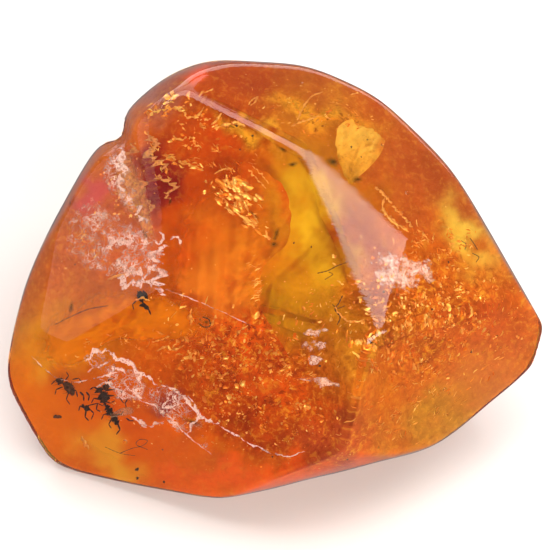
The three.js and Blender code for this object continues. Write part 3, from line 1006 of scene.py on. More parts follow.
# Groups of spangles: kind, centre, half sizes, lean of the group, number, depths, half lengths,
# narrowness, direction of the shapes in degrees with its spread, and how far they lean.
SPANGLE_GROUPS = {
    "cluster_blobs": (flakes, (-2.9, 7.1), (1.2, 0.6), -20, 26,
        (1.2, 1.8), (0.2, 0.7), (0.45, 0.8), -40, 25, 0.25),
    "cluster_grains": (flakes, (-3.4, 6.6), (1.5, 1.0), -45, 70,
        (1.2, 2.0), (0.08, 0.34), (0.4, 0.9), -40, 40, 0.4),
    "feather": (slivers, (-2.6, 5.2), (2.0, 0.6), -42, 90,
        (1.2, 2.0), (0.2, 0.7), (0.16, 0.34), -40, 16, 0.3),
    "brow_left": (slivers, (-9.2, 13.4), (2.2, 0.7), 18, 60,
        (0.6, 1.8), (0.12, 0.4), (0.15, 0.35), 15, 35, 0.5),
    "brow_grains": (flakes, (-5.6, 12.2), (2.0, 0.9), -10, 46,
        (0.8, 2.2), (0.08, 0.26), (0.35, 0.9), 20, 50, 0.5),
    "brow_ring": (flakes, (-7.4, 10.8), (1.0, 0.5), -10, 22,
        (1.0, 2.0), (0.08, 0.24), (0.4, 0.9), 0, 60, 0.4),
    "red_feathers": (slivers, (-7.4, 9.2), (1.6, 0.4), -14, 34,
        (1.2, 2.2), (0.2, 0.5), (0.12, 0.3), -15, 16, 0.4),
    "upper_streaks": (slivers, (-4.6, 9.6), (3.4, 1.6), -38, 60,
        (1.2, 3.6), (0.12, 0.4), (0.08, 0.2), -40, 25, 0.6),
    "groove_tail": (slivers, (-9.4, 9.0), (0.4, 1.8), 16, 30,
        (0.7, 1.6), (0.12, 0.34), (0.12, 0.3), -70, 20, 0.5),
    "crown": (slivers, (3.4, 13.2), (4.4, 1.4), -12, 110,
        (0.8, 3.6), (0.1, 0.42), (0.08, 0.24), 25, 40, 0.6),
    "crown_grains": (flakes, (5.0, 14.2), (8.0, 1.8), -14, 90,
        (0.6, 3.4), (0.04, 0.12), (0.4, 1.0), 0, 90, 0.6),
    "window_fringe": (slivers, (-1.5, -0.6), (0.4, 1.9), 6, 90,
        (2.4, 2.9), (0.12, 0.34), (0.07, 0.16), 25, 14, 0.4),
    "window_specks": (slivers, (3.6, -4.4), (2.6, 3.0), 0, 60,
        (0.8, 4.0), (0.06, 0.26), (0.1, 0.3), 20, 50, 0.7),
    "middle_gold": (slivers, (1.6, -7.6), (1.7, 0.7), -10, 60,
        (0.8, 2.0), (0.12, 0.34), (0.14, 0.34), 20, 25, 0.4),
    "middle_crumbs": (flakes, (0.6, -5.8), (2.4, 1.8), -10, 70,
        (1.0, 3.4), (0.08, 0.3), (0.35, 0.9), 20, 60, 0.6),
    "lower_crumbs": (flakes, (-4.0, -7.6), (5.2, 3.4), -24, 340,
        (0.6, 2.6), (0.03, 0.24), (0.4, 0.9), 30, 60, 0.6),
    "lower_streaks": (slivers, (-4.6, -6.0), (4.6, 3.0), -24, 130,
        (0.6, 2.8), (0.1, 0.46), (0.1, 0.26), 55, 35, 0.6),
    "lower_gold": (flakes, (2.3, -10.4), (1.2, 0.6), -25, 34,
        (0.6, 1.8), (0.1, 0.3), (0.4, 0.9), -25, 40, 0.5),
    "lower_specks": (flakes, (-0.6, -12.2), (6.0, 2.6), -8, 220,
        (0.4, 2.0), (0.03, 0.18), (0.4, 1.0), 0, 90, 0.7),
    "right_crumbs": (flakes, (11.6, -3.2), (6.2, 3.8), -4, 620,
        (0.4, 2.0), (0.03, 0.26), (0.35, 0.9), 30, 60, 0.6),
    "right_streaks": (slivers, (12.0, -3.8), (6.0, 3.6), 4, 260,
        (0.4, 2.0), (0.08, 0.4), (0.1, 0.3), 55, 50, 0.6),
    "right_gleams": (slivers, (9.0, -6.8), (2.6, 1.2), -10, 40,
        (1.0, 3.0), (0.2, 0.6), (0.16, 0.34), -60, 14, 0.4),
    "lower_right": (slivers, (11.6, -9.6), (5.4, 2.6), 26, 260,
        (0.4, 1.8), (0.08, 0.46), (0.08, 0.24), 35, 40, 0.7),
    "tip_specks": (flakes, (15.6, -2.4), (3.6, 4.4), -24, 70,
        (0.5, 2.4), (0.05, 0.16), (0.4, 1.0), 0, 90, 0.7),
    "right_glow_rim": (slivers, (14.4, 2.8), (1.4, 1.6), -40, 70,
        (0.8, 2.2), (0.1, 0.34), (0.12, 0.3), 10, 50, 0.6),
    "right_upper": (slivers, (11.8, 2.6), (2.4, 1.2), -20, 60,
        (0.8, 2.4), (0.12, 0.4), (0.08, 0.22), -40, 50, 0.6),
    "stain_rim": (slivers, (9.8, -0.6), (2.2, 1.8), -20, 60,
        (0.5, 1.6), (0.1, 0.36), (0.12, 0.32), 40, 60, 0.6),
    "left_specks": (slivers, (-15.6, 3.0), (1.4, 2.2), -20, 60,
        (0.5, 1.6), (0.08, 0.28), (0.1, 0.3), 40, 60, 0.6),
    "left_low": (slivers, (-13.0, -5.4), (2.6, 0.8), 4, 50,
        (0.6, 1.8), (0.08, 0.3), (0.12, 0.34), 15, 50, 0.6),
    "groove_grains": (flakes, (-12.0, 7.4), (1.6, 4.0), 16, 110,
        (0.4, 1.4), (0.05, 0.18), (0.4, 1.0), 0, 90, 0.6),
    "body_glints": (flakes, (-12.6, -10.2), (2.2, 1.0), -20, 30,
        (0.4, 1.0), (0.05, 0.18), (0.3, 0.8), 20, 60, 0.5),
    "bright_cluster": (flakes, (-2.9, 6.9), (1.3, 0.8), -30, 26,
        (1.0, 1.4), (0.2, 0.6), (0.4, 0.8), -40, 25, 0.12),
    "bright_lower": (flakes, (-5.2, -6.8), (4.4, 2.6), -24, 60,
        (0.6, 1.6), (0.1, 0.34), (0.4, 0.9), 30, 60, 0.15),
    "bright_right": (flakes, (11.0, -3.4), (5.4, 3.0), -4, 60,
        (0.5, 1.4), (0.08, 0.3), (0.4, 0.9), 30, 60, 0.15),
    "stray": (flakes, (0.0, 0.0), (17.0, 12.0), 0, 160,
        (0.8, 4.6), (0.03, 0.09), (0.4, 1.0), 0, 90, 0.8),
}

# Golden threads: run across and upslope in mm, half thickness, depth.
GOLD_THREADS = [
    ([(-7.4, 13.3), (-7.0, 12.8), (-6.4, 12.8), (-6.0, 13.1), (-5.7, 13.6)], 0.07, 1.0),
    ([(-8.8, 13.1), (-8.2, 13.5), (-7.8, 13.4), (-7.4, 13.3)], 0.09, 1.0),
    ([(-5.1, 12.2), (-4.7, 12.5), (-4.3, 13.1)], 0.07, 1.1),
    ([(-6.1, 14.4), (-5.8, 14.8), (-5.5, 14.8), (-4.9, 15.1)], 0.06, 0.9),
    ([(-2.1, 13.8), (-1.9, 14.1), (-1.4, 14.4), (-1.6, 14.0), (-2.0, 13.7)], 0.06, 0.9),
    ([(-4.8, 11.9), (-3.9, 12.2), (-3.1, 12.3), (-2.4, 12.1)], 0.13, 1.4),
    ([(-8.2, 11.1), (-7.8, 11.1), (-7.5, 10.9), (-7.1, 11.2)], 0.08, 1.2),
    ([(-8.7, 9.5), (-8.3, 9.6), (-7.9, 9.4)], 0.08, 1.0),
    ([(-7.7, 9.2), (-7.2, 9.2), (-6.8, 8.9)], 0.08, 1.2),
    ([(-4.8, 8.3), (-4.2, 8.6), (-3.5, 8.7), (-3.2, 8.4)], 0.06, 1.4),
    ([(-2.1, 8.6), (-1.5, 7.9), (-0.7, 7.1)], 0.05, 1.6),
    ([(-1.8, 8.9), (-1.2, 8.3), (-0.5, 7.5)], 0.04, 1.8),
    ([(1.2, 12.0), (1.8, 12.3), (2.5, 12.5), (3.3, 12.8)], 0.06, 1.0),
    ([(1.8, 12.6), (2.0, 13.0), (2.4, 13.8), (3.0, 14.5), (3.8, 14.8)], 0.06, 0.9),
    ([(6.1, 14.6), (6.5, 14.7), (6.8, 14.9)], 0.06, 0.8),
    ([(8.0, 7.2), (8.6, 6.7), (9.3, 5.9)], 0.09, 1.0),
    ([(8.8, 6.4), (8.6, 5.7), (8.9, 5.0), (9.6, 4.3), (10.6, 3.8)], 0.09, 1.0),
    ([(9.4, 5.7), (10.2, 4.9), (11.0, 4.0)], 0.08, 1.0),
    ([(9.2, 4.9), (9.6, 4.4), (9.9, 3.9)], 0.07, 1.1),
    ([(11.4, 3.8), (11.9, 3.4), (12.3, 2.8)], 0.05, 1.0),
    ([(-9.8, -5.2), (-9.1, -5.0), (-8.4, -4.7)], 0.05, 1.2),
    ([(-9.4, -5.9), (-8.8, -5.6), (-8.0, -5.8), (-7.2, -5.4)], 0.08, 1.6),
    ([(-6.7, -2.6), (-6.8, -3.2), (-6.7, -3.8)], 0.09, 1.6),
    ([(-4.7, -3.0), (-4.9, -3.5), (-5.2, -3.8)], 0.07, 1.6),
    ([(-3.2, -4.8), (-2.8, -4.3), (-2.2, -3.9)], 0.09, 1.6),
    ([(-6.9, -5.8), (-6.8, -6.3), (-6.5, -6.7)], 0.1, 1.6),
    ([(-15.5, -12.8), (-15.2, -13.3), (-14.9, -13.8)], 0.09, 1.0),
    ([(-13.4, -0.2), (-12.4, 0.2), (-11.4, 0.3)], 0.08, 0.4),
    ([(-11.2, -1.9), (-10.6, -1.7), (-10.0, -1.9)], 0.07, 0.6),
    ([(4.8, -2.4), (5.4, -3.2), (6.2, -3.6), (7.2, -3.5)], 0.06, 1.4),
]


# ---------------------------------------------------------------------------------------------
# Crazing
# ---------------------------------------------------------------------------------------------

# Patches of lace: outline, depth.
LACE_PATCHES = {
    "groove_upper": ([
        (-13.6, 10.6), (-12.8, 11.4), (-11.9, 10.8), (-11.4, 9.0), (-10.8, 7.2), (-10.3, 5.0), (-11.2, 4.4),
        (-12.4, 5.2), (-13.4, 6.8), (-14.0, 8.8),
    ], 0.25),
    "groove_lower": ([
        (-14.4, 4.6), (-12.6, 5.8), (-10.8, 4.6), (-9.9, 2.8), (-9.0, 1.6), (-9.1, -1.2), (-10.4, -1.4),
        (-12.4, -0.2), (-13.8, 0.4), (-12.4, 1.8), (-13.8, 3.0),
    ], 0.2),
    "net": ([
        (-15.3, -6.4), (-13.6, -5.8), (-11.6, -6.8), (-10.0, -8.0), (-7.6, -9.2), (-5.8, -11.2),
        (-5.2, -13.8), (-7.4, -12.6), (-9.6, -11.6), (-11.6, -10.4), (-13.4, -9.4), (-14.4, -8.0),
    ], 0.25),
    "right_stain": ([
        (7.6, 1.4), (8.8, 2.2), (10.2, 2.0), (11.6, 1.5), (13.0, 1.1), (13.2, 0.0), (11.6, -0.9),
        (10.2, -1.6), (8.8, -1.0), (7.7, 0.0),
    ], 0.3),
    "stain_a": ([(2.2, -4.4), (3.0, -4.1), (4.2, -4.3), (3.4, -4.8), (2.4, -4.8)], 0.3),
    "stain_b": ([(2.0, -5.2), (3.0, -5.0), (4.4, -5.2), (4.2, -5.8), (3.0, -6.1), (2.1, -5.9)], 0.3),
    "stain_c": ([(2.6, -6.3), (3.6, -6.2), (4.1, -6.6), (3.4, -7.1), (2.7, -6.9)], 0.3),
    "stain_d": ([(1.6, -8.2), (2.6, -7.9), (4.0, -8.0), (5.6, -8.7), (4.6, -8.9), (3.0, -8.7)], 0.3),
    "left_haze": ([
        (-16.6, 5.2), (-15.0, 6.6), (-13.4, 5.2), (-12.8, 2.6), (-13.6, 0.6), (-15.6, 0.8), (-17.2, 2.6),
    ], 0.5),
}

# Patches crazed so closely that they look nearly white.
DENSE_PATCHES = {"right_stain", "stain_a", "stain_b", "stain_c", "stain_d"}

# Ragged crack lines: run across and upslope in mm, half width, and seed.
CRACK_LINES = [
    ([(-15.2, -6.5), (-14.2, -5.9), (-13.2, -6.1), (-12.0, -6.8), (-10.5, -7.8), (-9.2, -8.6)], 0.2, 1),
    ([(-9.2, -8.6), (-8.0, -9.1), (-7.0, -9.8), (-6.0, -11.1), (-5.3, -11.6), (-4.5, -11.9)], 0.15, 2),
    ([(-4.5, -11.9), (-2.8, -12.9), (-1.0, -13.8), (0.8, -14.3), (2.4, -14.0)], 0.09, 3),
    ([(-14.2, -8.0), (-12.6, -9.0), (-10.8, -9.8), (-9.1, -10.7), (-7.3, -12.4), (-5.1, -14.2)], 0.08, 4),
    ([(-10.6, -7.6), (-10.9, -8.4), (-11.1, -9.1), (-10.7, -9.8)], 0.22, 5),
    ([(-5.9, -11.0), (-6.5, -11.9), (-7.2, -12.5)], 0.14, 6),
    ([(-7.4, -10.1), (-8.6, -10.4), (-9.2, -10.9)], 0.14, 7),
    ([(-8.8, -11.4), (-10.0, -11.8), (-11.4, -11.4)], 0.16, 8),
    ([(-9.1, -10.7), (-8.6, -11.4), (-7.6, -12.0)], 0.14, 9),
    ([(-6.9, -9.3), (-6.5, -10.2), (-6.0, -11.0)], 0.1, 10),
    ([(-14.4, -9.0), (-13.6, -8.4), (-12.9, -8.7)], 0.12, 11),
    ([(-15.0, -7.6), (-14.0, -7.2), (-13.2, -6.6)], 0.12, 12),
    ([(-13.6, -7.6), (-12.6, -7.5), (-11.4, -7.9)], 0.18, 13),
    ([(-19.5, -6.3), (-18.0, -7.8), (-16.0, -8.4), (-13.8, -8.0), (-12.2, -7.5)], 0.07, 14),
    ([(-9.1, 2.6), (-9.2, 1.0), (-9.2, -0.6), (-9.5, -1.4)], 0.7, 15),
    ([(-9.4, 0.6), (-10.6, 0.4), (-12.0, 0.6), (-13.6, 1.6)], 0.36, 16),
    ([(-9.6, -0.2), (-11.0, -0.4), (-12.6, 0.2)], 0.4, 17),
    ([(-9.8, 2.6), (-10.6, 3.4), (-10.8, 4.8), (-11.6, 6.0)], 0.4, 18),
    ([(-12.2, 5.6), (-12.4, 7.2), (-12.0, 8.8), (-12.4, 10.4)], 0.36, 19),
    ([(-13.8, 2.2), (-12.6, 2.8), (-11.2, 2.6)], 0.34, 20),
    ([(-8.8, -1.0), (-6.0, -2.0), (-3.4, -3.2), (-0.8, -4.4)], 0.05, 21),
    ([(-10.0, 3.2), (-9.4, 2.6), (-9.0, 3.4), (-9.6, 3.8)], 0.12, 22),
    ([(-8.4, 3.0), (-7.8, 3.2), (-7.6, 2.6)], 0.1, 23),
    ([(-11.6, -10.9), (-11.0, -11.5), (-10.2, -12.0)], 0.1, 24),
]

# Share of their listed widths that the crack lines are drawn at.
CRACK_SLIMNESS = 0.6

# The crumbly tan patch along the groove, and the strands that hang down it: run, half width, depth.
TAN_PATCH = [
    (-13.8, 9.8), (-12.6, 11.6), (-11.4, 11.0), (-10.6, 8.8), (-9.8, 6.4), (-9.2, 3.6), (-8.8, 1.4),
        (-9.8, 1.0),
    (-10.8, 3.4), (-12.4, 5.0), (-13.4, 7.2),
]
TAN_STRANDS = [
    ([(-10.2, 11.6), (-9.8, 10.2), (-9.2, 8.8), (-8.6, 7.4), (-8.2, 6.2)], 0.3, 0.7),
    ([(-11.4, 10.8), (-11.6, 8.8), (-11.2, 6.8), (-10.6, 5.0)], 0.35, 0.6),
    ([(-11.0, 7.4), (-10.4, 6.0), (-10.1, 4.8)], 0.2, 0.8),
    ([(-12.2, 9.8), (-12.0, 7.8), (-12.2, 6.2)], 0.22, 0.5),
]


def crack_strip(run, half_width, seed, depth=0.22, stations=60):
    """A ragged strip along its run: stations by five across, pushed sideways and widened by seeded
    waves, and narrowing to both ends. Its rim is 1 along the edges and ends and 0 in the middle."""
    path = smooth_path(run, stations)
    along = np.gradient(path, axis=0)
    along /= np.linalg.norm(along, axis=1, keepdims=True)
    side = np.stack([-along[:, 1], along[:, 0]], -1)
    s = np.linspace(0, 1, stations)
    reach = s * np.linalg.norm(np.diff(path, axis=0), axis=1).sum()
    sway = half_width * cloudy(reach, np.full(stations, float(seed)), 1.6, seed)
    width = half_width * (1 + 0.6 * cloudy(reach, np.full(stations, float(seed)), 0.9, seed + 50))
    width = width * np.minimum(1, 6 * np.minimum(s, 1 - s) + 0.15)
    w = np.linspace(-1, 1, 5)
    flat = path[:, None] + side[:, None] * (sway[:, None] + w * width[:, None])[..., None]
    rim = np.maximum(np.abs(w)[None], (1 - np.minimum(1, 10 * np.minimum(s, 1 - s)))[:, None])
    points = kept_inside(sealed(flat[..., 0].ravel(), flat[..., 1].ravel(), depth), 0.08)
    return (points, grid_faces(stations, 5).tolist()), rim.ravel() * 0.7


# ---------------------------------------------------------------------------------------------
# Insect remains
# ---------------------------------------------------------------------------------------------

def spindle(length, girth, profile, flat=0.8, bend=0.0, seed=1, stations=48, sides=20):
    """A body part lying along across: rings whose radius is girth times the profile of the share along,
    dented by a few hundredths, on a line arched by bend."""
    s = np.linspace(0, 1, stations)
    path = np.stack([(s - 0.5) * length, bend * (4 * s * (1 - s) - 0.5), np.zeros(stations)], -1)
    points, faces = tube(path, girth * profile(s), sides, flat)
    dent = 1 + 0.34 * cloudy(points[:, 0], points[:, 1] + points[:, 2], 0.45, seed)
    points[:, 1:] = path[:, 1:].mean(0) + (points[:, 1:] - path[:, 1:].mean(0)) * dent[:, None]
    return points, faces


def egg(s):
    """A round-ended profile, fullest just before the middle."""
    return np.sqrt(np.maximum(1.0 - (2 * s ** 0.85 - 1) ** 2, 0)) + 0.04


def abdomen_rings(count):
    """An egg profile pinched between the rings of an abdomen."""
    def profile(s):
        fold = (s * count) % 1.0
        return egg(s) * (1 - 0.3 * np.exp(-((fold - 0.98) / 0.12) ** 2))
    return profile


def waisted(s):
    """Head, neck, thorax: two swellings, the second fuller."""
    head = 0.62 * np.exp(-(((s - 0.17) / 0.14) ** 4))
    thorax = 1.0 * np.exp(-(((s - 0.66) / 0.3) ** 4))
    return np.maximum(head, thorax) + 0.12 * np.sqrt(np.maximum(1 - (2 * s - 1) ** 8, 0)) + 0.02


def jointed(knees, girth):
    """A leg through its knees: each stretch is a spindle pinched at the joints, and each is slimmer
    than the one before."""
    knees = np.asarray(knees, float)
    parts = []
    for i, (start, end) in enumerate(zip(knees[:-1], knees[1:])):
        s = np.linspace(0, 1, 9)
        path = start + (end - start) * s[:, None]
        parts.append(tube(path, girth * 0.78 ** i * (0.5 + 0.5 * np.sin(math.pi * s) ** 0.7), 8))
    return joined(parts)


def bristle(root, tip, girth=0.018):
    """A stiff hair, arched a little and thinning to its tip."""
    root, tip = np.asarray(root, float), np.asarray(tip, float)
    s = np.linspace(0, 1, 7)[:, None]
    path = root + (tip - root) * s + np.array([0, 0, 0.08]) * np.sin(math.pi * s)
    return tube(path, girth * (1 - 0.75 * s[:, 0]), 5)


# Body parts: name: profile, length, girth, flatness, bend, where its middle is seen, depth, lean and
# how thin its cuticle is.
BODY_PARTS = {
    "insect_foreparts": (waisted, 1.9, 0.27, 0.7, 0.2, (-16.75, -8.75), 2.0, -42, 1.4),
    "insect_thorax": (waisted, 1.3, 0.33, 0.8, 0.14, (-13.85, -9.45), 1.1, -62, 0.5),
    "insect_neck": (egg, 0.6, 0.24, 0.8, 0.0, (-13.5, -8.85), 1.0, 30, 1.2),
    "insect_coxa": (waisted, 0.8, 0.17, 0.7, 0.0, (-15.15, -10.45), 1.2, -35, 0.3),
    "insect_abdomen_front": (waisted, 0.6, 0.18, 0.8, 0.0, (-13.5, -10.35), 1.2, -52, 0.3),
    "insect_abdomen_middle": (abdomen_rings(2), 0.6, 0.25, 0.8, 0.0, (-13.2, -10.8), 1.2, -55, 0.3),
    "insect_abdomen_end": (abdomen_rings(3), 0.95, 0.24, 0.8, 0.03, (-12.8, -11.4), 1.2, -62, 0.3),
    "insect_loose_ring": (egg, 0.7, 0.13, 0.5, 0.06, (-17.4, -11.2), 1.3, 0, 1.6),
    "beetle_shield": (egg, 0.85, 0.4, 0.7, 0.0, (-10.6, -1.55), 0.9, 24, 0.2),
    "beetle_rim": (egg, 0.95, 0.13, 0.6, 0.14, (-10.4, -2.45), 0.9, -32, 0.3),
}

# Legs, feelers and loose bits: knees across and upslope in mm, half thickness, depth.
LEGS = [
    ([(-13.6, -9.1), (-13.0, -9.0), (-12.5, -8.9), (-12.2, -9.3)], 0.07, 0.9),
    ([(-13.6, -9.5), (-12.9, -9.5), (-12.4, -9.7), (-12.1, -10.1)], 0.07, 0.9),
    ([(-13.7, -9.9), (-13.2, -10.1), (-12.8, -9.9)], 0.06, 0.9),
    ([(-14.2, -10.1), (-14.3, -10.6), (-13.9, -10.8)], 0.06, 1.0),
    ([(-15.6, -9.2), (-15.3, -9.5), (-15.3, -9.9)], 0.08, 1.2),
    ([(-15.1, -9.2), (-14.85, -9.5), (-14.95, -9.9)], 0.08, 1.2),
    ([(-14.8, -10.6), (-14.5, -10.9), (-14.7, -11.4)], 0.06, 1.2),
    ([(-15.0, -10.3), (-14.2, -10.1), (-13.8, -10.3)], 0.05, 1.2),
    ([(-11.8, -9.8), (-12.0, -10.1), (-11.9, -10.4)], 0.06, 0.8),
    ([(-11.9, -11.3), (-11.6, -11.5), (-11.3, -11.5)], 0.06, 0.8),
    ([(-10.5, -2.1), (-10.1, -2.6), (-9.95, -3.0)], 0.09, 0.9),
    ([(-11.1, -1.9), (-11.4, -2.2), (-11.3, -2.6)], 0.06, 0.9),
    ([(-16.2, -8.2), (-15.7, -8.1), (-15.4, -8.5)], 0.05, 1.8),
    ([(-16.5, -9.2), (-16.7, -9.8), (-16.4, -10.2)], 0.05, 1.8),
    ([(-17.2, -8.4), (-17.6, -8.3), (-17.9, -8.6)], 0.06, 1.8),
    ([(-17.0, -8.8), (-17.5, -9.0), (-17.6, -9.4)], 0.06, 1.8),
    ([(-16.8, -8.3), (-16.5, -7.9), (-16.7, -7.6)], 0.05, 1.8),
    ([(-16.3, -9.0), (-15.9, -9.1), (-15.8, -9.6)], 0.07, 1.6),
    ([(-14.1, -9.0), (-14.5, -8.8), (-14.8, -9.0)], 0.07, 1.0),
    ([(-14.0, -9.8), (-14.5, -9.7), (-14.7, -10.1)], 0.06, 1.0),
    ([(-13.4, -8.7), (-13.3, -8.2), (-12.9, -8.1)], 0.06, 0.9),
    ([(-15.2, -10.5), (-15.6, -10.3), (-15.7, -10.7)], 0.07, 1.2),
    ([(-15.1, -10.6), (-15.2, -11.2), (-14.9, -11.5)], 0.07, 1.2),
    ([(-13.2, -10.9), (-13.7, -11.0), (-13.9, -11.4)], 0.06, 1.1),
    ([(-13.0, -11.2), (-13.3, -11.8), (-13.1, -12.1)], 0.06, 1.1),
    ([(-12.6, -11.7), (-12.4, -12.2), (-12.7, -12.6)], 0.08, 1.1),
    ([(-12.8, -11.0), (-12.3, -11.0), (-12.1, -10.7)], 0.05, 1.0),
]

# Parts with bristles, and how far to either side of their middle the bristles stand, in mm.
BRISTLED_PARTS = {
    "insect_foreparts": 0.9, "insect_thorax": 0.5, "insect_abdomen_middle": 0.3, "insect_abdomen_end": 0.4,
}
BRISTLE_SPACING = 0.1


def back_bristles(reach):
    """Bristles along a part's back, leaning alternately to either side and of uneven length."""
    parts = []
    for i, x in enumerate(np.arange(-reach, reach, BRISTLE_SPACING)):
        side = 1 if i % 2 else -1
        length = 0.5 + 0.2 * math.sin(5.0 * i)
        parts.append(bristle((x, 0.2 * side, 0.12), (x - 0.5 * length, length * side, 0.2)))
    return joined(parts)


WING_LENGTH = 2.0
WING_WIDTH = 0.62
WING_PLACE = (-12.2, -10.9)
WING_DEPTH = 0.8
WING_LEAN = 14


def wing_outline(s, w):
    """A wing's membrane: a share along and a share across, narrow at its root, full past the middle."""
    half = 0.5 * WING_WIDTH * (0.25 + 0.75 * np.sin(math.pi * np.clip(s, 0, 1) ** 1.4) ** 0.6)
    return np.stack([
        (s - 0.5) * WING_LENGTH, w * half + 0.1 * np.sin(3 * s), 0.06 * np.sin(5 * s + 2 * w),
    ], -1)


def wing_membrane():
    """The membrane as a grid of wing_outline, and a torn end where the share along stops unevenly."""
    s, w = [g.ravel() for g in np.meshgrid(np.linspace(0, 1, 30), np.linspace(-1, 1, 12), indexing="ij")]
    torn = 0.94 + 0.06 * np.sin(9 * w + 1)
    return wing_outline(s * torn, w), grid_faces(30, 12).tolist()


def wing_veins():
    """Veins: six tubes fanning from the root, and two cross veins."""
    s = np.linspace(0, 0.92, 20)
    parts = [tube(wing_outline(s, np.full(20, w) * np.minimum(1, 0.3 + 1.6 * s)), 0.016, 5)
             for w in (-0.98, -0.6, -0.2, 0.2, 0.6, 0.98)]
    across = np.linspace(-0.9, 0.9, 10)
    parts += [tube(wing_outline(np.full(10, s), across), 0.012, 5) for s in (0.45, 0.7)]
    return joined(parts)


# ---------------------------------------------------------------------------------------------
# Debris and bubbles
# ---------------------------------------------------------------------------------------------

# Soft clouds of dust: centre, half sizes, lean, depth.
DUST_CLOUDS = [
    ((-16.4, 6.2), (0.5, 1.3), -20, 0.9), ((-17.5, 4.2), (0.4, 0.9), -10, 0.9),
    ((-16.3, -2.4), (0.3, 0.9), -8, 1.4), ((-5.5, -3.6), (0.4, 0.3), 0, 1.4),
    ((4.6, 9.2), (0.9, 0.6), -20, 1.2), ((6.6, 7.8), (0.7, 0.5), 10, 1.2), ((1.4, 9.0), (0.8, 0.35), 14, 1.4),
    ((0.1, 3.4), (0.35, 0.9), -18, 2.0), ((-0.1, 2.6), (0.5, 0.5), 30, 2.2),
    ((-1.7, 5.0), (0.9, 0.25), -40, 1.6),
    ((-8.4, 6.0), (0.18, 0.5), -20, 0.6), ((0.6, 10.2), (0.7, 0.25), -30, 1.4),
    ((12.4, 9.8), (0.8, 2.0), 38, 2.2), ((-3.4, 12.0), (0.5, 0.15), -20, 1.0),
    ((7.8, -5.2), (1.0, 0.35), 60, 1.6), ((-6.6, -11.6), (1.6, 0.4), -26, 1.6),
    ((-10.4, 3.4), (0.4, 0.9), 20, 0.9),
]

# Dark crumbs: place, half size, depth.
CRUMBS = [
    ((-18.5, -12.2), 0.13, 1.0), ((-11.0, -15.4), 0.15, 0.9), ((-11.0, -16.1), 0.12, 0.5),
    ((-8.9, -16.4), 0.1, 0.4), ((-3.1, 12.1), 0.12, 0.9), ((-1.8, 11.3), 0.1, 1.0), ((2.9, 2.4), 0.07, 1.6),
    ((-2.8, 10.2), 0.07, 1.0), ((1.5, 2.7), 0.07, 2.0), ((3.6, -7.1), 0.1, 0.7), ((8.7, -1.2), 0.09, 0.8),
    ((12.6, -2.6), 0.09, 1.0), ((15.7, -6.0), 0.1, 1.2), ((13.9, 1.2), 0.08, 1.2), ((-14.0, 2.4), 0.09, 0.8),
    ((-16.0, 1.0), 0.07, 0.8), ((-9.0, -13.8), 0.06, 0.8), ((6.1, 10.4), 0.08, 1.8), ((6.9, 9.6), 0.06, 1.8),
    ((7.4, 11.0), 0.06, 1.8), ((-0.2, -14.4), 0.08, 0.6), ((5.8, -14.6), 0.08, 0.4),
    ((-6.0, -3.4), 0.08, 1.2),
]

# Plant hairs and cracks filled with soil: run, half thickness, depth.
DARK_THREADS = [
    ([(-12.4, -14.1), (-11.4, -13.7), (-10.6, -13.5), (-10.2, -13.1), (-10.8, -13.0), (-11.1, -13.4),
      (-10.2, -13.8)], 0.022, 0.8),
    ([(-13.6, -13.6), (-12.4, -14.1), (-11.2, -14.3)], 0.018, 0.8),
    ([(3.4, 0.3), (4.2, 0.5), (5.0, 0.9), (5.8, 1.2)], 0.035, 1.8),
    ([(4.0, -0.2), (4.6, 0.2), (4.3, 0.4)], 0.03, 1.8),
    ([(5.4, -1.5), (5.1, -2.1), (4.8, -2.6), (5.2, -3.2), (5.0, -3.8)], 0.04, 1.6),
    ([(4.6, -2.2), (5.0, -2.5), (5.6, -2.3)], 0.03, 1.6),
    ([(-17.6, -3.8), (-16.4, -3.2), (-15.0, -2.6), (-13.4, -2.3)], 0.03, 0.8),
    ([(14.9, 2.9), (15.3, 2.6), (15.2, 2.2)], 0.03, 1.6),
    ([(15.6, 3.1), (15.9, 2.7), (16.2, 2.2)], 0.03, 1.6),
    ([(15.8, 1.9), (16.3, 1.6), (16.1, 1.2)], 0.03, 1.6),
    ([(-5.8, -3.2), (-5.3, -3.4), (-5.2, -3.9), (-5.7, -4.0), (-6.1, -3.7)], 0.05, 1.2),
]

# Bubbles: place, half size, depth.
BUBBLES = [
    ((-14.6, 3.2), 0.2, 1.2), ((-8.2, -2.2), 0.14, 1.6), ((6.8, 3.2), 0.16, 1.4), ((10.6, 6.8), 0.2, 1.6),
    ((-2.4, 0.6), 0.12, 2.2), ((1.8, -12.6), 0.16, 1.2), ((17.8, -4.8), 0.14, 1.2),
    ((-12.0, -13.2), 0.18, 1.6),
    ((2.2, 15.6), 0.1, 1.0), ((-4.4, -9.4), 0.14, 1.4), ((13.6, -9.0), 0.16, 1.0), ((4.4, 5.2), 0.1, 2.6),
    ((-10.9, -5.0), 0.12, 1.0), ((8.6, 10.6), 0.12, 1.2),
]


def crumb_shape(half, seed):
    """An uneven crumb: a short tube of egg profile, dented all over."""
    points, faces = spindle(2 * half, 0.8 * half, egg, 0.9, 0.0, seed, 12, 10)
    return points * (1 + 0.25 * cloudy(points[:, 0], points[:, 1], 1.5 * half, seed))[:, None], faces


def ball(half):
    """A round bubble: rings from pole to pole, closed by a point at each."""
    polar = np.linspace(0.12, math.pi - 0.12, 14)
    path = np.stack([-half * np.cos(polar), np.zeros(14), np.zeros(14)], -1)
    return tube(path, half * np.sin(polar), 20)


# ---------------------------------------------------------------------------------------------
# Operators
# ---------------------------------------------------------------------------------------------

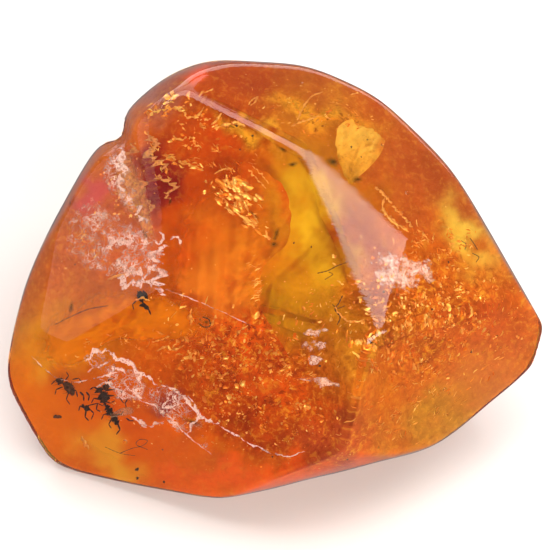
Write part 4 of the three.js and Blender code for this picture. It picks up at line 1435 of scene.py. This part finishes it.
class AMBER_OT_nugget(bpy.types.Operator):
    """Builds the polished nugget, which stands for the CAD solid"""
    bl_idname = "amber.nugget"
    bl_label = "Polished nugget"

    def execute(self, context):
        points, faces, worn, scratched = nugget_skin()
        nugget = add_piece(
            "polished_nugget", points, faces, amber_material(context.scene.amber_resin),
            attributes={"worn": worn, "scratched": scratched})
        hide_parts("amber_nugget")
        return {"FINISHED"}


class AMBER_OT_flows(bpy.types.Operator):
    """Builds the sheets of milky resin where flows met"""
    bl_idname = "amber.flows"
    bl_label = "Resin flows"

    def execute(self, context):
        resin = context.scene.amber_resin
        milky = flow_material("milky_resin", 1.0)
        thin = flow_material("thin_milky_resin", 0.9, 1.2, 0.4)
        across, upslope, points, faces, rim = heart_sheet()
        pigment, crumbly = tinted(across, upslope, HEART_COLOUR, HEART_TINTS, resin, HEART_DEPTH)
        add_piece("flow_heart", to_frame(points), faces, milky,
                  attributes={"pigment": pigment, "crumbly": crumbly, "rim": 0.5 * rim ** 6})
        across, upslope, points, faces, rim = back_flow()
        pigment, crumbly = tinted(across, upslope, "#D8780F", [], resin, 3.0)
        veil = flow_material("veil_of_milky_resin", 0.5, 3.0, 0.6)
        add_piece("flow_back", to_frame(points), faces, veil,
                  attributes={"pigment": pigment, "crumbly": crumbly, "rim": rim ** 2})
        across, upslope, points, faces, rim = outline_sheet(LOBE_OUTLINE, 3.2, 44, 200)
        pigment, crumbly = tinted(across, upslope, LOBE_COLOUR, LOBE_TINTS, resin, 3.2)
        crisp = 1 / (1 + np.exp(-(across + 2.4) / 0.5))
        add_piece("flow_lobe", to_frame(points), faces, milky,
                  attributes={"pigment": pigment, "crumbly": crumbly, "rim": rim * (1.05 - 0.7 * crisp)})
        for name, (outline, depth, code, crisp, crumbs) in SMALL_FLOWS.items():
            across, upslope, points, faces, rim = outline_sheet(outline, depth)
            pigment, crumbly = tinted(across, upslope, code, LEAF_TINTS, resin, depth)
            add_piece("flow_" + name, to_frame(points), faces, thin, attributes={
                "pigment": pigment, "crumbly": crumbly + crumbs - 0.15, "rim": rim * (1.1 - 0.6 * crisp)})
        return {"FINISHED"}


class AMBER_OT_spangles(bpy.types.Operator):
    """Builds the golden sun spangles, group by group, and the golden threads"""
    bl_idname = "amber.spangles"
    bl_label = "Sun spangles"

    def execute(self, context):
        things = context.scene.amber_inclusions
        material = spangle_material(things)
        for seed, (name, row) in enumerate(SPANGLE_GROUPS.items(), 40):
            maker, centre, half, lean, full, depths, sizes, narrow, way, way_spread, spread = row
            rng = np.random.default_rng(seed)
            count = max(1, round(full * things.spangle_count))
            local, faces = maker(rng, count, sizes, narrow)
            tries = np.clip(rng.normal(0, 0.6, (2, 3 * count)), -1.5, 1.5) * np.array(half)[:, None]
            a, b = turned(*tries, lean)
            crowding = cloudy(a, b, 1.5, seed, 3) + rng.normal(0, 0.25, 3 * count)
            chosen = np.sort(np.argsort(crowding)[-count:])
            places = np.stack([a, b], -1)[chosen] + centre
            directions = np.radians(way + rng.normal(0, way_spread, count))
            points, faces, shade = scattered(rng, local * things.spangle_size, faces, places,
                                             rng.uniform(*depths, count), directions, spread)
            add_piece("spangles_" + name, to_frame(points), faces, material,
                      attributes={"shade": shade})
        parts = []
        for run, girth, depth in GOLD_THREADS:
            path = smooth_path(run, 40)
            path = path + 0.04 * cloudy(path[:, 0], path[:, 1], 0.5, 7)[:, None]
            swell = girth * (0.6 + 0.5 * np.sin(np.linspace(0, math.pi, 40)))
            swell = swell * (1 + 0.5 * cloudy(path[:, 0], path[:, 1], 0.4, 9, 2))
            shape, faces = tube(np.column_stack([path, np.zeros(40)]), np.maximum(swell, 0.02), 8, 0.6)
            parts.append((set_in(shape, (0, 0), depth), faces))
        points, faces = joined(parts)
        add_piece("spangles_threads", to_frame(points), faces, material,
                  attributes={"shade": np.full(len(points), 0.55)})
        return {"FINISHED"}


class AMBER_OT_crazing(bpy.types.Operator):
    """Builds the lace of fine white cracks under the skin"""
    bl_idname = "amber.crazing"
    bl_label = "Crazed cracks"

    def execute(self, context):
        things = context.scene.amber_inclusions
        lace = crack_material(things, "crazed_lace", 1.3, 0.028, 0.08, 0.85)
        stain = crack_material(things, "crazed_stain", 0.5, 0.06, 0.32, 0.9)
        dense = crack_material(things, "crazed_crack", 0.5, 0.1, 0.14, 0.85)
        for name, (outline, depth) in LACE_PATCHES.items():
            _, _, points, faces, rim = outline_sheet(outline, depth)
            material = stain if name in DENSE_PATCHES else lace
            add_piece("crazing_" + name, to_frame(points), faces, material,
                      attributes={"rim": rim})
        strips, rims = zip(*[crack_strip(run, CRACK_SLIMNESS * width, seed)
                             for run, width, seed in CRACK_LINES])
        points, faces = joined(strips)
        add_piece("crazing_lines", to_frame(points), faces, dense,
                  attributes={"rim": np.concatenate(rims)})
        tan = flow_material("tan_fibrous_resin", 0.75, 0.5, 0.2)
        _, _, points, faces, rim = outline_sheet(TAN_PATCH, 0.5)
        add_piece("crazing_tan_patch", to_frame(points), faces, tan, attributes={
            "rim": 0.35 + rim * 0.75, "crumbly": np.full(len(points), 0.9),
            "pigment": np.tile(through_resin("#E09458", 0.5, context.scene.amber_resin), (len(points), 1))})
        strips, rims = zip(*[crack_strip(run, width, 60 + i, depth)
                             for i, (run, width, depth) in enumerate(TAN_STRANDS)])
        points, faces = joined(strips)
        pigment = np.tile(through_resin("#E09A5A", 0.7, context.scene.amber_resin), (len(points), 1))
        add_piece("crazing_tan_strands", to_frame(points), faces, tan, attributes={
            "rim": np.concatenate(rims) * 1.2, "pigment": pigment, "crumbly": np.full(len(points), 0.7)})
        return {"FINISHED"}


class AMBER_OT_insect(bpy.types.Operator):
    """Builds what is left of the insects: broken body parts, legs, bristles and a wing"""
    bl_idname = "amber.insect"
    bl_label = "Insect remains"

    def execute(self, context):
        cuticle = cuticle_material(context.scene.amber_inclusions)
        for seed, (name, row) in enumerate(BODY_PARTS.items(), 70):
            profile, length, girth, flat, bend, centre, depth, lean, thin = row
            shape, faces = spindle(length, girth, profile, flat, bend, seed)
            points = set_in(shape, centre, depth, lean)
            add_piece(name, to_frame(points), faces, cuticle,
                      attributes={"thin": np.full(len(points), thin)})
        parts = []
        for knees, girth, depth in LEGS:
            shape, faces = jointed(np.column_stack([knees, np.zeros(len(knees))]), girth)
            parts.append((set_in(shape, (0, 0), depth), faces))
        points, faces = joined(parts)
        add_piece("insect_legs", to_frame(points), faces, cuticle,
                  attributes={"thin": np.full(len(points), 0.5)})
        parts = []
        for name, reach in BRISTLED_PARTS.items():
            _, _, _, _, _, centre, depth, lean, _ = BODY_PARTS[name]
            shape, faces = back_bristles(reach)
            parts.append((set_in(shape, centre, depth, lean), faces))
        points, faces = joined(parts)
        add_piece("insect_bristles", to_frame(points), faces, cuticle,
                  attributes={"thin": np.full(len(points), 1.0)})
        for name, (shape, faces), material, slot in (
            ("insect_wing", wing_membrane(), wing_material(), "insect_wings"),
            ("insect_wing_veins", wing_veins(), cuticle, "insect_wings"),
        ):
            points = set_in(shape, WING_PLACE, WING_DEPTH, WING_LEAN)
            add_piece(name, to_frame(points), faces, material,
                      attributes={"thin": np.full(len(points), 1.6)})
        return {"FINISHED"}


class AMBER_OT_debris(bpy.types.Operator):
    """Builds the forest dust, plant crumbs and hairs"""
    bl_idname = "amber.debris"
    bl_label = "Plant debris"

    def execute(self, context):
        share, turn, disc = disc_grid(12, 40)
        parts = []
        for i, (centre, half, lean, depth) in enumerate(DUST_CLOUDS):
            shape = np.stack([
                half[0] * share * np.cos(turn), half[1] * share * np.sin(turn),
                0.15 * cloudy(share * np.cos(turn), share * np.sin(turn), 1.0, 80 + i),
            ], -1)
            parts.append((set_in(shape, centre, depth, lean), disc))
        points, faces = joined(parts)
        add_piece("debris_dust", to_frame(points), faces, smudge_material(),
                  attributes={"rim": np.tile(share, len(DUST_CLOUDS))})
        plant = debris_material()
        parts = []
        for i, (centre, half, depth) in enumerate(CRUMBS):
            shape, faces = crumb_shape(half, 90 + i)
            parts.append((set_in(shape, centre, depth, 37 * i), faces))
        points, faces = joined(parts)
        add_piece("debris_crumbs", to_frame(points), faces, plant)
        parts = []
        for run, girth, depth in DARK_THREADS:
            path = np.column_stack([smooth_path(run, 40), np.zeros(40)])
            shape, faces = tube(path, girth * (1 + 0.3 * np.sin(np.arange(40) * 1.3)), 6)
            parts.append((set_in(shape, (0, 0), depth), faces))
        points, faces = joined(parts)
        add_piece("debris_threads", to_frame(points), faces, plant)
        return {"FINISHED"}


class AMBER_OT_bubbles(bpy.types.Operator):
    """Builds the gas bubbles"""
    bl_idname = "amber.bubbles"
    bl_label = "Gas bubbles"

    def execute(self, context):
        parts = []
        for centre, half, depth in BUBBLES:
            shape, faces = ball(half)
            parts.append((set_in(shape, centre, depth), faces))
        points, faces = joined(parts)
        add_piece("gas_bubbles", to_frame(points), faces, bubble_material())
        return {"FINISHED"}


# Soft panels: way from the nugget, distance and size in metres, radiance.
PANELS = {
    "overhead_panel": ((0.24, 0.125, 0.96), 0.65, (0.98, 0.36), 6.4),
    "back_panel": ((-0.22, 0.68, 0.70), 0.60, (0.55, 0.34), 2.6),
    "rear_panel": ((0.05, 0.97, 0.22), 0.70, (1.20, 0.30), 2.4),
    "front_panel": ((0.50, -0.80, 0.33), 0.60, (0.90, 0.38), 9.8),
    "left_panel": ((-0.86, -0.12, 0.48), 0.60, (0.60, 0.60), 1.0),
}
FLOOR_HALF = 3.0
# How far the frame is raised on the nugget, as a share of its width.
FRAME_SHIFT = 0.0036


class AMBER_OT_stage(bpy.types.Operator):
    """Sets the pale floor, the soft lights and the camera"""
    bl_idname = "amber.stage"
    bl_label = "Stage"

    def execute(self, context):
        scene = context.scene
        stage = scene.amber_stage
        world = bpy.data.worlds.new("studio")
        scene.world = world
        world.use_nodes = True
        background = world.node_tree.nodes["Background"]
        background.inputs["Color"].default_value = (1, 1, 1, 1)
        background.inputs["Strength"].default_value = stage.sky
        mesh = bpy.data.meshes.new("floor")
        s = FLOOR_HALF
        mesh.from_pydata([(-s, -s, 0), (s, -s, 0), (s, s, 0), (-s, s, 0)], [], [(0, 1, 2, 3)])
        floor = bpy.data.objects.new("floor", mesh)
        scene.collection.objects.link(floor)
        material, tree, output = new_material("warm_white_paper")
        shader = add_node(tree, "ShaderNodeBsdfPrincipled", inputs={
            "Base Color": hex_colour("#C8BFBA"), "Roughness": 0.85})
        tree.links.new(shader.outputs[0], output.inputs["Surface"])
        mesh.materials.append(material)
        # As behind a polarising filter, the polished faces do not mirror the paper.
        floor.visible_glossy = False
        for name, (way, distance, size, radiance) in PANELS.items():
            data = bpy.data.lights.new(name, "AREA")
            data.shape = "RECTANGLE"
            data.size, data.size_y = size
            data.energy = radiance * math.pi * size[0] * size[1]
            panel = bpy.data.objects.new(name, data)
            back = Vector(way).normalized()
            side = (Vector((1, 0, 0)) - back * back.x).normalized()
            panel.location = back * distance
            panel.rotation_euler = Matrix((side, back.cross(side), back)).transposed().to_euler()
            scene.collection.objects.link(panel)
        heart = to_frame(np.zeros((1, 3)))[0]
        camera = bpy.data.objects.new("camera", bpy.data.cameras.new("camera"))
        camera.location = heart + OUT * stage.eye_distance
        camera.rotation_euler = (GIRDLE_LEAN, 0, 0)
        camera.data.lens_unit = "FOV"
        camera.data.angle = 2 * math.atan(stage.view_width / 2 / stage.eye_distance)
        camera.data.shift_y = FRAME_SHIFT
        camera.data.clip_start = 0.01
        scene.collection.objects.link(camera)
        scene.camera = camera
        scene.view_settings.view_transform = "Standard"
        scene.cycles.max_bounces = 24
        scene.cycles.transmission_bounces = 24
        scene.cycles.glossy_bounces = 12
        scene.cycles.transparent_max_bounces = 32
        return {"FINISHED"}


class AMBER_PT_panel(bpy.types.Panel):
    """Lists the settings and the operators in the 3D view's sidebar"""
    bl_idname = "AMBER_PT_panel"
    bl_label = "Insect in Amber"
    bl_space_type = "VIEW_3D"
    bl_region_type = "UI"
    bl_category = "Amber"

    def draw(self, context):
        for group in SETTINGS:
            settings = getattr(context.scene, group)
            box = self.layout.box()
            for field in type(settings).__annotations__:
                box.prop(settings, field)
        for operator in OPERATORS:
            self.layout.operator(operator.bl_idname)


SETTINGS = {
    "amber_resin": AmberResinSettings,
    "amber_inclusions": AmberInclusionSettings,
    "amber_stage": AmberStageSettings,
}
OPERATORS = [
    AMBER_OT_nugget, AMBER_OT_flows, AMBER_OT_spangles, AMBER_OT_crazing, AMBER_OT_insect,
    AMBER_OT_debris, AMBER_OT_bubbles, AMBER_OT_stage,
]


def register():
    for cls in [*SETTINGS.values(), *OPERATORS, AMBER_PT_panel]:
        bpy.utils.register_class(cls)
    for name, group in SETTINGS.items():
        setattr(bpy.types.Scene, name, bpy.props.PointerProperty(type=group))


def unregister():
    for name in SETTINGS:
        delattr(bpy.types.Scene, name)
    for cls in reversed([*SETTINGS.values(), *OPERATORS, AMBER_PT_panel]):
        bpy.utils.unregister_class(cls)


def main():
    register()
    bpy.ops.amber.nugget()
    bpy.ops.amber.flows()
    bpy.ops.amber.spangles()
    bpy.ops.amber.crazing()
    bpy.ops.amber.insect()
    bpy.ops.amber.debris()
    bpy.ops.amber.bubbles()
    bpy.ops.amber.stage()


if __name__ == "__main__":
    main()
